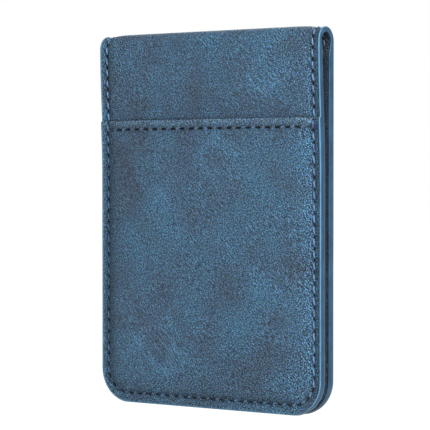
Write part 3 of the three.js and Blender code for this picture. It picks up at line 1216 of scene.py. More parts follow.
class Nodes:
    """Short ways to add and join the nodes of a material or a node group."""

    def __init__(self, tree: bpy.types.NodeTree) -> None:
        """Keeps the node tree."""
        self.tree = tree

    def add(self, kind: str, **settings: object) -> bpy.types.Node:
        """Adds a node and sets its properties and its unlinked inputs.

        Args:
            kind: The node's type.
            settings: Properties by name, and inputs by name with spaces as underscores.

        Returns:
            The new node.
        """
        node = self.tree.nodes.new(kind)
        for key, value in settings.items():
            if hasattr(node, key):
                setattr(node, key, value)
            else:
                node.inputs[key.replace("_", " ")].default_value = value
        return node

    def join(self, source: bpy.types.NodeSocket, target: bpy.types.NodeSocket) -> None:
        """Joins an output to an input."""
        self.tree.links.new(source, target)

    def feed(self, socket: bpy.types.NodeSocket, value: object) -> None:
        """Gives an input its value.

        Args:
            socket: The input.
            value: A socket that is joined to it, a colour or a number.
        """
        if isinstance(value, bpy.types.NodeSocket):
            self.join(value, socket)
        elif isinstance(value, tuple):
            socket.default_value = (*value, 1.0)
        else:
            socket.default_value = value

    def maths(self, operation: str, first: object, second: object = 0.0) -> bpy.types.NodeSocket:
        """Adds a sum of two values.

        Args:
            operation: The kind of sum.
            first: A socket or a number.
            second: A socket or a number.

        Returns:
            The sum's output.
        """
        node = self.add("ShaderNodeMath", operation=operation)
        for place, value in enumerate((first, second)):
            self.feed(node.inputs[place], value)
        return node.outputs[0]

    def mixed(self, *parts: tuple[object, float]) -> bpy.types.NodeSocket:
        """Adds values up, each times its weight.

        Args:
            parts: Pairs of a value and its weight.

        Returns:
            The sum.
        """
        weighted = [self.maths("MULTIPLY", value, weight) for value, weight in parts]
        total = weighted[0]
        for value in weighted[1:]:
            total = self.maths("ADD", total, value)
        return total

    def spread(
        self, value: bpy.types.NodeSocket, low: float, high: float
    ) -> bpy.types.NodeSocket:
        """Stretches a value smoothly.

        Args:
            value: The value.
            low: Where the output is 0.
            high: Where the output is 1.

        Returns:
            The stretched value, kept from 0 to 1.
        """
        node = self.add("ShaderNodeMapRange", interpolation_type="SMOOTHSTEP")
        self.join(value, node.inputs["Value"])
        node.inputs["From Min"].default_value = low
        node.inputs["From Max"].default_value = high
        return node.outputs["Result"]

    def blend(self, share: object, first: object, second: object) -> bpy.types.NodeSocket:
        """Mixes two colours.

        Args:
            share: Share of the second colour, a socket or a number.
            first: A socket or a colour.
            second: A socket or a colour.

        Returns:
            The mixed colour.
        """
        node = self.add("ShaderNodeMix", data_type="RGBA")
        for name, value in (("Factor", share), ("A", first), ("B", second)):
            self.feed([s for s in node.inputs if s.name == name and s.enabled][0], value)
        return [s for s in node.outputs if s.enabled][0]

    def noise(
        self, vector: bpy.types.NodeSocket, scale: float, detail: float = 2.0,
        space: Space = Space.SOLID,
    ) -> bpy.types.NodeSocket:
        """Adds a noise.

        Args:
            vector: Where the noise is read.
            scale: Number of features to the metre.
            detail: Number of finer noises added to it.
            space: Dimensions that the noise fills.

        Returns:
            The noise, from 0 to 1.
        """
        node = self.add(
            "ShaderNodeTexNoise", noise_dimensions=space.value, Scale=scale, Detail=detail
        )
        self.join(vector, node.inputs["Vector"])
        return node.outputs["Fac"]

    def shaken(
        self, vector: bpy.types.NodeSocket, scale: float, reach: float
    ) -> bpy.types.NodeSocket:
        """Moves a vector about by a coloured noise.

        Args:
            vector: The vector.
            scale: Number of the noise's features to the metre.
            reach: Twice the farthest move in each direction, in metres.

        Returns:
            The vector with its move added.
        """
        noise = self.add("ShaderNodeTexNoise", Scale=scale, Detail=1.0)
        self.join(vector, noise.inputs["Vector"])
        centred = self.add("ShaderNodeVectorMath", operation="SUBTRACT")
        centred.inputs[1].default_value = (0.5, 0.5, 0.5)
        self.join(noise.outputs["Color"], centred.inputs[0])
        moved = self.add("ShaderNodeVectorMath", operation="MULTIPLY_ADD")
        moved.inputs[1].default_value = (reach, reach, reach)
        self.join(centred.outputs["Vector"], moved.inputs[0])
        self.join(vector, moved.inputs[2])
        return moved.outputs["Vector"]

    def gain(
        self, colour: bpy.types.NodeSocket, factor: bpy.types.NodeSocket
    ) -> bpy.types.NodeSocket:
        """Makes a colour brighter or darker.

        Args:
            colour: The colour.
            factor: What each of its parts is multiplied by.

        Returns:
            The new colour.
        """
        node = self.add("ShaderNodeVectorMath", operation="SCALE")
        self.join(colour, node.inputs[0])
        self.join(factor, node.inputs["Scale"])
        return node.outputs["Vector"]

    def stretched(
        self, vector: bpy.types.NodeSocket, turn: float, scale: Colour
    ) -> bpy.types.NodeSocket:
        """Turns a vector in the plane of the leather and then scales it.

        Args:
            vector: The vector.
            turn: Angle in radians.
            scale: Factors along the turned axes.

        Returns:
            The turned and scaled vector.
        """
        turned = self.add("ShaderNodeMapping", vector_type="POINT")
        turned.inputs["Rotation"].default_value = (0.0, 0.0, turn)
        scaled = self.add("ShaderNodeMapping", vector_type="POINT")
        scaled.inputs["Scale"].default_value = scale
        self.join(vector, turned.inputs["Vector"])
        self.join(turned.outputs["Vector"], scaled.inputs["Vector"])
        return scaled.outputs["Vector"]


class Effect:
    """A node group that several finishes share."""

    name = "effect"
    inputs: tuple[tuple[str, str, object], ...] = ()
    outputs: tuple[tuple[str, str], ...] = ()

    def __init__(self) -> None:
        """Builds the group with its named inputs and outputs."""
        self.tree = bpy.data.node_groups.new(self.name, "ShaderNodeTree")
        for name, kind, value in self.inputs:
            socket = self.tree.interface.new_socket(name, in_out="INPUT", socket_type=kind)
            if value is not None:
                socket.default_value = value
        for name, kind in self.outputs:
            self.tree.interface.new_socket(name, in_out="OUTPUT", socket_type=kind)
        self.nodes = Nodes(self.tree)
        self.source = self.nodes.add("NodeGroupInput")
        self.sink = self.nodes.add("NodeGroupOutput")
        self.fill()

    def fill(self) -> None:
        """Adds the nodes between the inputs and the outputs."""

    def use(self, nodes: Nodes, **values: object) -> bpy.types.Node:
        """Places the group in a material.

        Args:
            nodes: The material's nodes.
            values: Inputs by name, with spaces as underscores: a socket, a colour or a number.

        Returns:
            The group's node.
        """
        node = nodes.add("ShaderNodeGroup")
        node.node_tree = self.tree
        for key, value in values.items():
            nodes.feed(node.inputs[key.replace("_", " ")], value)
        return node


class HideTone(Effect):
    """Cloudy colour of waxed leather: dark and light patches over soft clouds."""

    name = "hide_tone"
    inputs = (
        ("Place", "NodeSocketVector", None),
        ("Patch", "NodeSocketFloat", 0.0),
        ("Ground", "NodeSocketColor", (0.1, 0.2, 0.3, 1.0)),
        ("Shade", "NodeSocketColor", (0.05, 0.1, 0.2, 1.0)),
        ("Bloom", "NodeSocketColor", (0.2, 0.3, 0.4, 1.0)),
    )
    outputs = (("Colour", "NodeSocketColor"), ("Cloud", "NodeSocketFloat"))
    wide_scale = 75.0
    wide_share = 0.6
    small_scale = 180.0
    small_share = 0.4
    small_turn = math.radians(-38)
    small_stretch = (1.0, 0.55, 1.0)
    patch_share = 0.13
    dark_span = (0.55, 0.26)
    light_span = (0.45, 0.74)

    def fill(self) -> None:
        """Clouds of two sizes and the patches choose between three tones."""
        nodes = self.nodes
        place = self.source.outputs["Place"]
        wide = nodes.noise(place, self.wide_scale, detail=1.0)
        slanted = nodes.stretched(place, self.small_turn, self.small_stretch)
        small = nodes.noise(slanted, self.small_scale, detail=1.0)
        cloud = nodes.mixed((wide, self.wide_share), (small, self.small_share),
                            (self.source.outputs["Patch"], self.patch_share))
        dark = nodes.spread(cloud, *self.dark_span)
        light = nodes.spread(cloud, *self.light_span)
        tone = nodes.blend(dark, self.source.outputs["Ground"], self.source.outputs["Shade"])
        tone = nodes.blend(light, tone, self.source.outputs["Bloom"])
        nodes.join(tone, self.sink.inputs["Colour"])
        nodes.join(cloud, self.sink.inputs["Cloud"])


class HideGrain(Effect):
    """Height of leather: pebbled pores, slanting wrinkles and soft dents."""

    name = "hide_grain"
    inputs = (
        ("Place", "NodeSocketVector", None),
        ("Pulled", "NodeSocketFloat", 0.0),
        ("Pores", "NodeSocketFloat", 1.0),
        ("Lines", "NodeSocketFloat", 1.0),
    )
    outputs = (
        ("Height", "NodeSocketFloat"),
        ("Relief", "NodeSocketFloat"),
        ("Tint", "NodeSocketVector"),
    )
    shake = (1200.0, 0.3 * MM)
    pebble_scale = 2200.0
    pebble_level = 0.45
    pebble_share = 0.5
    fine_scale = 3100.0
    fine_share = 2.7
    fine_stretch = (1.15, 0.85, 1.0)
    line_turn = math.radians(-46)
    line_scales = (2500.0, 700.0, 1.0)
    line_patch_scale = 130.0
    line_patch_span = (0.38, 0.64)
    line_least = 0.3
    hair_bend = (160.0, 3.0 * MM)
    hair_turn = math.radians(-40)
    hair_scales = (1300.0, 80.0, 1.0)
    hair_width = 0.07
    hair_share = 0.55
    dent_scale = 300.0
    dent_share = 0.25
    tint_scale = 2700.0
    tint_gain = (1.3, 0.8, 0.8)
    tint_base = (0.35, 0.6, 0.6)

    def fill(self) -> None:
        """Joins pores, lines and dents into the height, and the first two into the relief."""
        nodes = self.nodes
        place = self.source.outputs["Place"]
        shaken = nodes.shaken(place, *self.shake)
        slanted = nodes.stretched(place, self.line_turn, self.fine_stretch)
        relief = nodes.maths(
            "ADD",
            nodes.maths("MULTIPLY", self.pores(shaken, slanted), self.source.outputs["Pores"]),
            nodes.maths("MULTIPLY", self.lines(place, shaken), self.source.outputs["Lines"]),
        )
        nodes.join(relief, self.sink.inputs["Relief"])
        dents = nodes.noise(place, self.dent_scale, detail=1.0)
        height = nodes.maths("ADD", relief, nodes.maths("MULTIPLY", dents, self.dent_share))
        nodes.join(height, self.sink.inputs["Height"])
        self.add_tint(slanted)

    def pores(
        self, shaken: bpy.types.NodeSocket, slanted: bpy.types.NodeSocket
    ) -> bpy.types.NodeSocket:
        """Adds pebbles from cells and a fine grain from a noise.

        Args:
            shaken: The place, moved about so that no cell keeps its straight sides.
            slanted: The place, turned and stretched along the wrinkles.

        Returns:
            Their height, about 0.
        """
        nodes = self.nodes
        cells = nodes.add("ShaderNodeTexVoronoi", feature="F1", Scale=self.pebble_scale)
        nodes.join(shaken, cells.inputs["Vector"])
        pebble = nodes.maths("SUBTRACT", self.pebble_level, cells.outputs["Distance"])
        even = nodes.noise(slanted, self.fine_scale, detail=0.0, space=Space.FLAT)
        fine = nodes.maths("SUBTRACT", even, 0.5)
        return nodes.mixed((pebble, self.pebble_share), (fine, self.fine_share))

    def lines(
        self, place: bpy.types.NodeSocket, shaken: bpy.types.NodeSocket
    ) -> bpy.types.NodeSocket:
        """Adds slanting wrinkles, and hairlines where the hide is pulled.

        Args:
            place: The place on the hide.
            shaken: The place, moved about a little.

        Returns:
            Their height, about 0. The wrinkles are a stretched noise, strong in some places and
            faint in others. The hairlines follow the middle level of a more stretched noise.
        """
        nodes = self.nodes
        streaky = nodes.stretched(shaken, self.line_turn, self.line_scales)
        lines = nodes.maths("SUBTRACT", nodes.noise(streaky, 1.0, detail=0.0), 0.5)
        where = nodes.spread(
            nodes.noise(place, self.line_patch_scale, detail=1.0), *self.line_patch_span
        )
        lines = nodes.maths("MULTIPLY", lines, nodes.maths("ADD", where, self.line_least))
        bent = nodes.shaken(place, *self.hair_bend)
        long = nodes.stretched(bent, self.hair_turn, self.hair_scales)
        level = nodes.maths("SUBTRACT", nodes.noise(long, 1.0, detail=1.0), 0.5)
        hair = nodes.spread(nodes.maths("ABSOLUTE", level), self.hair_width, 0.0)
        hair = nodes.maths("MULTIPLY", hair, self.source.outputs["Pulled"])
        return nodes.maths("ADD", lines, nodes.maths("MULTIPLY", hair, self.hair_share))

    def add_tint(self, slanted: bpy.types.NodeSocket) -> None:
        """Puts out a coloured noise of the fine grain's size, about 1.

        Args:
            slanted: The place, turned and stretched along the wrinkles.
        """
        nodes = self.nodes
        tint = nodes.add(
            "ShaderNodeTexNoise", noise_dimensions=Space.FLAT.value, Scale=self.tint_scale,
            Detail=0.0,
        )
        nodes.join(slanted, tint.inputs["Vector"])
        about = nodes.add("ShaderNodeVectorMath", operation="MULTIPLY_ADD")
        about.inputs[1].default_value = self.tint_gain
        about.inputs[2].default_value = self.tint_base
        nodes.join(tint.outputs["Color"], about.inputs[0])
        nodes.join(about.outputs["Vector"], self.sink.inputs["Tint"])


class EdgeWearAndLight(Effect):
    """Lightens a colour along edges, partly wear and partly a painted highlight, and darkens it
    along seams with painted shade.
    """

    name = "edge_wear_and_light"
    inputs = (
        ("Colour", "NodeSocketColor", (0.5, 0.5, 0.5, 1.0)),
        ("Light", "NodeSocketColor", (0.6, 0.6, 0.6, 1.0)),
        ("Dark", "NodeSocketColor", (0.02, 0.03, 0.05, 1.0)),
        ("Rubbed", "NodeSocketFloat", 0.0),
        ("Crease", "NodeSocketFloat", 0.0),
        ("Amount", "NodeSocketFloat", 0.5),
        ("Place", "NodeSocketVector", None),
    )
    outputs = (("Colour", "NodeSocketColor"),)
    patch_scale = 420.0
    patch_least = 0.4
    painted_shade_share = 0.45

    def fill(self) -> None:
        """Breaks the lighter edge up with a noise, mixes it in and then mixes the painted shade
        in.
        """
        nodes = self.nodes
        source = self.source.outputs
        patch = nodes.noise(source["Place"], self.patch_scale, detail=3.0)
        strength = nodes.maths("ADD", patch, self.patch_least)
        broken = nodes.maths("MULTIPLY", source["Rubbed"], strength)
        share = nodes.maths("MULTIPLY", broken, source["Amount"])
        wear_and_highlight = nodes.blend(share, source["Colour"], source["Light"])
        dark = nodes.maths("MULTIPLY", source["Crease"], self.painted_shade_share)
        nodes.join(nodes.blend(dark, wear_and_highlight, source["Dark"]), self.sink.inputs["Colour"])


class Effects:
    """All the shared node groups, each built once."""

    def __init__(self) -> None:
        """Builds the groups."""
        self.tone = HideTone()
        self.grain = HideGrain()
        self.wear_and_light = EdgeWearAndLight()


class Finish:
    """Base of the finishes: a material with one Principled BSDF."""

    def __init__(self, name: str, roughness: float, metallic: float = 0.0) -> None:
        """Makes the material and its shader.

        Args:
            name: The material's name.
            roughness: The shader's roughness.
            metallic: 1 for a metal.
        """
        self.material = bpy.data.materials.new(name)
        self.material.use_nodes = True
        self.nodes = Nodes(self.material.node_tree)
        self.shader = self.material.node_tree.nodes["Principled BSDF"]
        self.shader.inputs["Roughness"].default_value = roughness
        self.shader.inputs["Metallic"].default_value = metallic

    def attribute(self, name: str) -> bpy.types.Node:
        """Reads one of the piece's own values."""
        return self.nodes.add("ShaderNodeAttribute", attribute_name=name)

    def value(self, name: str) -> bpy.types.NodeSocket:
        """Reads one of the piece's own numbers."""
        return self.attribute(name).outputs["Fac"]

    def place(self, world: bool = False) -> bpy.types.NodeSocket:
        """Gives the place that a pattern is laid on.

        Args:
            world: True where a piece has no place on the flat hide.

        Returns:
            The place on the hide, or the place in the object.
        """
        if world:
            return self.nodes.add("ShaderNodeTexCoord").outputs["Object"]
        return self.attribute("hide").outputs["Vector"]

    def bump(self, height: bpy.types.NodeSocket, strength: float, distance: float) -> None:
        """Feeds a height through a Bump node into the shader's normal.

        Args:
            height: The height.
            strength: Share of the bump that shows.
            distance: Depth in metres of a height of 1.
        """
        node = self.nodes.add("ShaderNodeBump", Strength=strength, Distance=distance)
        self.nodes.join(height, node.inputs["Height"])
        self.nodes.join(node.outputs["Normal"], self.shader.inputs["Normal"])

    def colour(self, socket: bpy.types.NodeSocket) -> None:
        """Feeds the shader's base colour."""
        self.nodes.join(socket, self.shader.inputs["Base Color"])

    def vary_roughness(self, pattern: bpy.types.NodeSocket, middle: float, span: float) -> None:
        """Spreads the roughness about its middle.

        Args:
            pattern: A pattern from 0 to 1.
            middle: Roughness where the pattern is a half.
            span: Roughness between the pattern's lowest and highest places.
        """
        rough = self.nodes.maths(
            "ADD", self.nodes.maths("MULTIPLY", pattern, span), middle - span / 2
        )
        self.nodes.join(rough, self.shader.inputs["Roughness"])


@dataclass(frozen=True)
class LeatherTones:
    """The colours and relief of one leather."""

    ground: Colour
    shade: Colour
    bloom: Colour
    # Colour of the lighter edges, partly wear and partly a painted highlight, and colour of the
    # painted shade along seams.
    wear_and_highlight: Colour
    painted_shade: Colour
    wear_and_light: float = 0.55
    # How strongly the grain's relief lightens its tops and darkens its hollows: partly the grain's
    # own fleck, partly painted shade.
    grain_shade: float = 1.6
    darkest_grain_shade: float = 0.3
    pores: float = 1.0
    lines: float = 1.4
    relief: float = 1.0
    depth: float = 0.34 * MM
    roughness: float = 0.56
    cloud_roughness: float = 0.2
    specular: float = 0.3
    sheen: float = 0.1
    sheen_roughness: float = 0.45


COVER_TONES = LeatherTones(
    ground=from_srgb(67, 105, 134),
    shade=from_srgb(61, 87, 111),
    bloom=from_srgb(70, 118, 150),
    wear_and_highlight=from_srgb(108, 142, 168),
    painted_shade=from_srgb(26, 38, 58),
)
# The lining's tones are darkened to stand for the shade in the gap between the panels: painted
# shade.
SHADED_LINING_TONES = LeatherTones(
    ground=from_srgb(34, 52, 70),
    shade=from_srgb(28, 42, 58),
    bloom=from_srgb(40, 60, 78),
    wear_and_highlight=from_srgb(80, 112, 140),
    painted_shade=from_srgb(22, 32, 50),
    depth=0.2 * MM,
    lines=0.6,
    roughness=0.64,
)


class LeatherFinish(Finish):
    """Waxed leather with cloudy colour and pebbled grain."""

    def __init__(self, name: str, tones: LeatherTones, effects: Effects) -> None:
        """Builds the material.

        Args:
            name: The material's name.
            tones: The leather's colours and relief.
            effects: The shared node groups.
        """
        super().__init__(name, tones.roughness)
        nodes = self.nodes
        place = self.place()
        tone = effects.tone.use(
            nodes, Place=place, Patch=self.value("patch"), Ground=tones.ground,
            Shade=tones.shade, Bloom=tones.bloom,
        )
        # The lighter edges are partly wear and partly a painted highlight; the darker seams are
        # painted shade.
        wear_and_light = effects.wear_and_light.use(
            nodes, Place=place, Colour=tone.outputs["Colour"], Light=tones.wear_and_highlight,
            Dark=tones.painted_shade, Rubbed=self.value("wear_and_highlight"), Crease=self.value("painted_shade"),
            Amount=tones.wear_and_light,
        )
        grain = effects.grain.use(
            nodes, Place=place, Pulled=self.value("pulled"), Pores=tones.pores,
            Lines=tones.lines,
        )
        # The grain's relief lightens its tops and darkens its hollows: partly the grain's own
        # fleck, partly painted shade in the hollows.
        factor = nodes.maths(
            "ADD", nodes.maths("MULTIPLY", grain.outputs["Relief"], tones.grain_shade), 1.0
        )
        factor = nodes.maths("MAXIMUM", factor, tones.darkest_grain_shade)
        tinted = nodes.add("ShaderNodeVectorMath", operation="MULTIPLY")
        nodes.join(nodes.gain(wear_and_light.outputs["Colour"], factor), tinted.inputs[0])
        nodes.join(grain.outputs["Tint"], tinted.inputs[1])
        self.colour(tinted.outputs["Vector"])
        self.bump(grain.outputs["Height"], tones.relief, tones.depth)
        self.vary_roughness(tone.outputs["Cloud"], tones.roughness, tones.cloud_roughness)
        self.shader.inputs["Sheen Weight"].default_value = tones.sheen
        self.shader.inputs["Sheen Roughness"].default_value = tones.sheen_roughness
        self.shader.inputs["Specular IOR Level"].default_value = tones.specular


class PaintFinish(Finish):
    """Smooth edge paint with faint lines along the edge, lighter by the outer face: partly wear,
    partly a painted highlight.
    """

    roughness = 0.42
    specular = 0.25
    dark = from_srgb(24, 50, 72)
    light = from_srgb(36, 68, 92)
    # Lighter paint by the outer face: partly wear, partly a painted highlight.
    wear_and_highlight = from_srgb(100, 150, 182)
    wear_and_light = 0.75
    line_scales = (90.0, 3600.0, 1.0)
    line_share = 0.6
    cloud_scale = 240.0
    cloud_share = 0.4
    tone_span = (0.35, 0.65)
    relief = (0.25, 0.08 * MM)

    def __init__(self, name: str, effects: Effects) -> None:
        """Builds the material.

        Args:
            name: The material's name.
            effects: The shared node groups.
        """
        super().__init__(name, self.roughness)
        nodes = self.nodes
        place = self.place()
        streak = nodes.noise(nodes.stretched(place, 0.0, self.line_scales), 1.0)
        cloud = nodes.noise(place, self.cloud_scale)
        share = nodes.mixed((streak, self.line_share), (cloud, self.cloud_share))
        tone = nodes.blend(nodes.spread(share, *self.tone_span), self.dark, self.light)
        wear_and_light = effects.wear_and_light.use(
            nodes, Place=place, Colour=tone, Light=self.wear_and_highlight, Rubbed=self.value("wear_and_highlight"),
            Amount=self.wear_and_light,
        )
        self.colour(wear_and_light.outputs["Colour"])
        self.bump(share, *self.relief)
        self.shader.inputs["Specular IOR Level"].default_value = self.specular


class ThreadFinish(Finish):
    """Waxed thread, lighter where its painted highlight lies."""

    roughness = 0.5
    specular = 0.35
    sheen = 0.1
    fuzz_scale = 5200.0
    patch_scale = 420.0
    tone_span = (0.36, 0.62)
    least_light = 0.35
    relief = (0.4, 0.05 * MM)

    def __init__(self, name: str, dark: Colour, light: Colour) -> None:
        """Builds the material.

        Args:
            name: The material's name.
            dark: The thread's own tone, outside its painted highlight.
            light: The tone of the thread's painted highlight.
        """
        super().__init__(name, self.roughness)
        nodes = self.nodes
        place = self.place()
        fuzz = nodes.noise(place, self.fuzz_scale)
        patch = nodes.noise(place, self.patch_scale, detail=1.0)
        spread = nodes.spread(nodes.mixed((fuzz, 0.5), (patch, 0.5)), *self.tone_span)
        share = nodes.maths("ADD", spread, self.least_light)
        # The thread's painted highlight sets the share of the light tone.
        share = nodes.maths("MULTIPLY", share, self.value("wear_and_highlight"))
        self.colour(nodes.blend(share, dark, light))
        self.bump(fuzz, *self.relief)
        self.shader.inputs["Sheen Weight"].default_value = self.sheen
        self.shader.inputs["Specular IOR Level"].default_value = self.specular


class HoleShadeFinish(Finish):
    """Painted shade in a needle hole: a dark colour for the shade in its depth."""

    roughness = 0.9
    speck_scale = 3000.0
    dark = from_srgb(7, 12, 20)
    light = from_srgb(16, 24, 36)

    def __init__(self, name: str) -> None:
        """Builds the material.

        Args:
            name: The material's name.
        """
        super().__init__(name, self.roughness)
        speck = self.nodes.noise(self.place(), self.speck_scale, detail=1.0)
        self.colour(self.nodes.blend(speck, self.dark, self.light))


class BoardFinish(Finish):
    """Bonded fibre board."""

    roughness = 0.85
    fibre_turn = 0.5
    fibre_scales = (900.0, 2600.0, 900.0)
    tone_span = (0.3, 0.7)
    dark = from_srgb(58, 66, 78)
    light = from_srgb(92, 98, 104)
    relief = (0.3, 0.1 * MM)

    def __init__(self, name: str) -> None:
        """Builds the material.

        Args:
            name: The material's name.
        """
        super().__init__(name, self.roughness)
        nodes = self.nodes
        place = nodes.stretched(self.place(world=True), self.fibre_turn, self.fibre_scales)
        fibre = nodes.noise(place, 1.0, detail=3.0)
        self.colour(nodes.blend(nodes.spread(fibre, *self.tone_span), self.dark, self.light))
        self.bump(fibre, *self.relief)


class MetalFinish(Finish):
    """Plated magnet or rolled steel plate."""

    line_scales = (200.0, 200.0, 5200.0)
    tone_span = (0.3, 0.7)
    bright = from_srgb(214, 216, 220)
    roughness_span = 0.2
    relief = (0.15, 0.03 * MM)

    def __init__(self, name: str, tone: Colour, roughness: float) -> None:
        """Builds the material.

        Args:
            name: The material's name.
            tone: The metal's darker tone.
            roughness: Its middle roughness.
        """
        super().__init__(name, roughness, metallic=1.0)
        nodes = self.nodes
        place = nodes.stretched(self.place(world=True), 0.0, self.line_scales)
        rolled = nodes.noise(place, 1.0)
        self.colour(nodes.blend(nodes.spread(rolled, *self.tone_span), tone, self.bright))
        self.vary_roughness(rolled, roughness, self.roughness_span)
        self.bump(rolled, *self.relief)


class Finishes:
    """Every finish of the holder."""

    def __init__(self) -> None:
        """Builds the shared effects and the materials."""
        effects = Effects()
        self.cover = LeatherFinish("cover_leather", COVER_TONES, effects).material
        self.lining = LeatherFinish("lining_leather", SHADED_LINING_TONES, effects).material
        self.paint = PaintFinish("edge_paint", effects).material
        # Both threads carry a painted highlight.
        self.thread = ThreadFinish(
            "seam_thread", from_srgb(22, 36, 58), from_srgb(94, 130, 168)
        ).material
        self.tack = ThreadFinish(
            "tack_thread", from_srgb(20, 34, 62), from_srgb(44, 70, 116)
        ).material
        # Needle holes are coloured with painted shade.
        self.hole = HoleShadeFinish("needle_hole").material
        self.board = BoardFinish("stiffener_board").material
        self.magnet = MetalFinish(
            "magnet_nickel", from_srgb(176, 180, 184), roughness=0.28
        ).material
        self.steel = MetalFinish("plate_steel", from_srgb(150, 154, 158), roughness=0.4).material


@dataclass
class Panel:
    """One panel of the holder: its cover, its lining, its painted edge and its seams."""

    side: Side
    sizes: HolderSizes
    finishes: Finishes
    rider: FoldRider
    inner_stitch: StitchShape = StitchShape(radius=0.2 * MM, rise=0.08 * MM)
    # The inner stitches lie in shade, so they get less of the thread's painted highlight: painted
    # shade.
    inner_highlight_strength: float = 0.3

    @property
    def label(self) -> str:
        """The word for the panel in the names of its pieces."""
        return "back" if self.side is Side.BACK else "front"

    def add_bent(
        self, form: Form, name: str, material: bpy.types.Material
    ) -> bpy.types.Object:
        """Builds a piece that runs from the crown down the panel, and bakes its transform.

        Args:
            form: The piece's mesh in the making.
            name: The piece's name.
            material: Its finish.

        Returns:
            The piece.
        """
        piece = form.build(name, material)
        self.rider.bend(piece, self.side)
        return piece

    def seam_layer(self) -> LeatherLayer:
        """The layer whose outer face carries the panel's seam."""
        kind = LeatherLayer if self.side is Side.BACK else FrontCoverLayer
        return kind(self.side, self.sizes, self.sizes.cover)

    def build(self) -> None:
        """Builds all the pieces of the panel."""
        cover = self.seam_layer()
        piece = self.add_bent(
            cover.form(), f"{self.label}_cover_leather", self.finishes.cover
        )
        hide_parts(f"cover_{self.label}")
        if self.side is Side.FRONT:
            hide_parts("cover_spine")
        lining = LiningLayer(self.side, self.sizes, self.sizes.lining)
        piece = self.add_bent(
            lining.form(), f"{self.label}_lining_leather", self.finishes.lining
        )
        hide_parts(f"lining_{self.label}")
        if self.side is Side.FRONT:
            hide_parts("lining_spine")
        paint = EdgePaint(self.side, self.sizes)
        self.add_bent(
            paint.form(), f"{self.label}_edge_paint", self.finishes.paint
        )
        self.build_seam(cover, lining)

    def build_seam(self, cover: LeatherLayer, lining: LiningLayer) -> None:
        """Builds the stitches of both faces and the needle holes between them.

        Args:
            cover: The panel's cover.
            lining: The panel's lining.
        """
        line = SeamLine(self.sizes)
        places, ways = line.at(np.arange(1, line.count) * line.pitch)
        gaps, gap_ways = line.at((np.arange(line.count) + 0.5) * line.pitch)
        outer = Seam(self.outer_seam_layer(), Face.OUTER)
        inner = Seam(lining, Face.INNER, self.inner_stitch, highlight_strength=self.inner_highlight_strength)
        finishes = self.finishes
        stitches = self.add_bent(
            outer.lay(places, ways, line.pitch), f"{self.label}_stitches", finishes.thread,
        )
        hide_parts(f"seam_{self.label}")
        self.add_bent(
            inner.lay(places, ways, line.pitch), f"{self.label}_inner_stitches",
            finishes.thread,
        )
        self.add_bent(
            outer.holes(gaps, gap_ways), f"{self.label}_needle_holes", finishes.hole,
        )
        self.add_bent(
            inner.holes(gaps, gap_ways), f"{self.label}_inner_needle_holes", finishes.hole,
        )

    def outer_seam_layer(self) -> LeatherLayer:
        """The layer that the outer stitches lie on."""
        return self.seam_layer()


@dataclass
class SteppedSeamFace(LeatherLayer):
    """The front panel's outer face along its seam: the cover above, the pocket below."""

    step_run: float = 0.9 * MM

    def base_depth(self, x: Array, up: Array) -> Array:
        """Steps out by the pocket's thickness over the mouth's edge."""
        below = self.sizes.mouth_up - up + self.step_run / 2
        return -self.sizes.pocket_lift * smooth_rise(below, self.step_run) + 0 * x


@dataclass
class FrontPanel(Panel):
    """The front panel, with the card pocket and its hem."""

    hem_end_gap: float = 0.6 * MM
    bar_spacing: float = 0.42 * MM
    bar_stitch: StitchShape = StitchShape(slant=0.05 * MM, level_share=1.0)

    def outer_seam_layer(self) -> LeatherLayer:
        """The stitches climb from the cover onto the pocket."""
        return SteppedSeamFace(self.side, self.sizes, self.sizes.cover)

    def build(self) -> None:
        """Builds the panel and then its pocket."""
        super().build()
        pocket = PocketLayer(self.side, self.sizes, self.sizes.pocket)
        piece = pocket.form().build("pocket_leather", self.finishes.cover)
        self.ride(piece, "cover_leather", "front_pocket")
        self.build_hem(pocket)

    def ride(self, piece: bpy.types.Object, slot: str, *nodes: str) -> None:
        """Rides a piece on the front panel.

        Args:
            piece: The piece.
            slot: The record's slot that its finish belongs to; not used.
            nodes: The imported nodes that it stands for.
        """
        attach(piece, self.side.value)
        if nodes:
            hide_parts(*nodes)

    def build_hem(self, pocket: PocketLayer) -> None:
        """Builds the seam under the mouth and the bar of thread at its right end.

        Args:
            pocket: The pocket's leather.
        """
        sizes = self.sizes
        pitch = sizes.stitch_pitch
        up = sizes.mouth_seam - sizes.bottom
        reach = sizes.seam_x - self.hem_end_gap
        count = int(reach / pitch)
        xs = np.arange(-count, count + 1) * pitch
        gap_xs = (np.arange(-count, count) + 0.5) * pitch
        hem = Seam(pocket, Face.OUTER)
        along = np.array([1.0, 0.0])
        centres = np.stack([xs, np.full_like(xs, up)], axis=-1)
        gaps = np.stack([gap_xs, np.full_like(gap_xs, up)], axis=-1)
        stitches = hem.lay(centres, np.broadcast_to(along, centres.shape), pitch)
        piece = stitches.build("hem_stitches", self.finishes.thread)
        self.ride(piece, "seam_thread", "seam_mouth")
        holes = hem.holes(gaps, np.broadcast_to(along, gaps.shape))
        self.ride(holes.build("hem_needle_holes", self.finishes.hole), "cover_leather")
        bars = np.array([-1.0, 0.0, 1.0]) * self.bar_spacing
        middle = (sizes.seam_x + sizes.half_width) / 2
        places = np.stack([np.full_like(bars, middle), up + bars], axis=-1)
        tack = Seam(pocket, Face.OUTER, self.bar_stitch)
        length = sizes.half_width - sizes.seam_x
        bar = tack.lay(places, np.broadcast_to(along, places.shape), length)
        self.ride(bar.build("mouth_tack_bar", self.finishes.tack), "seam_thread", "mouth_tack")


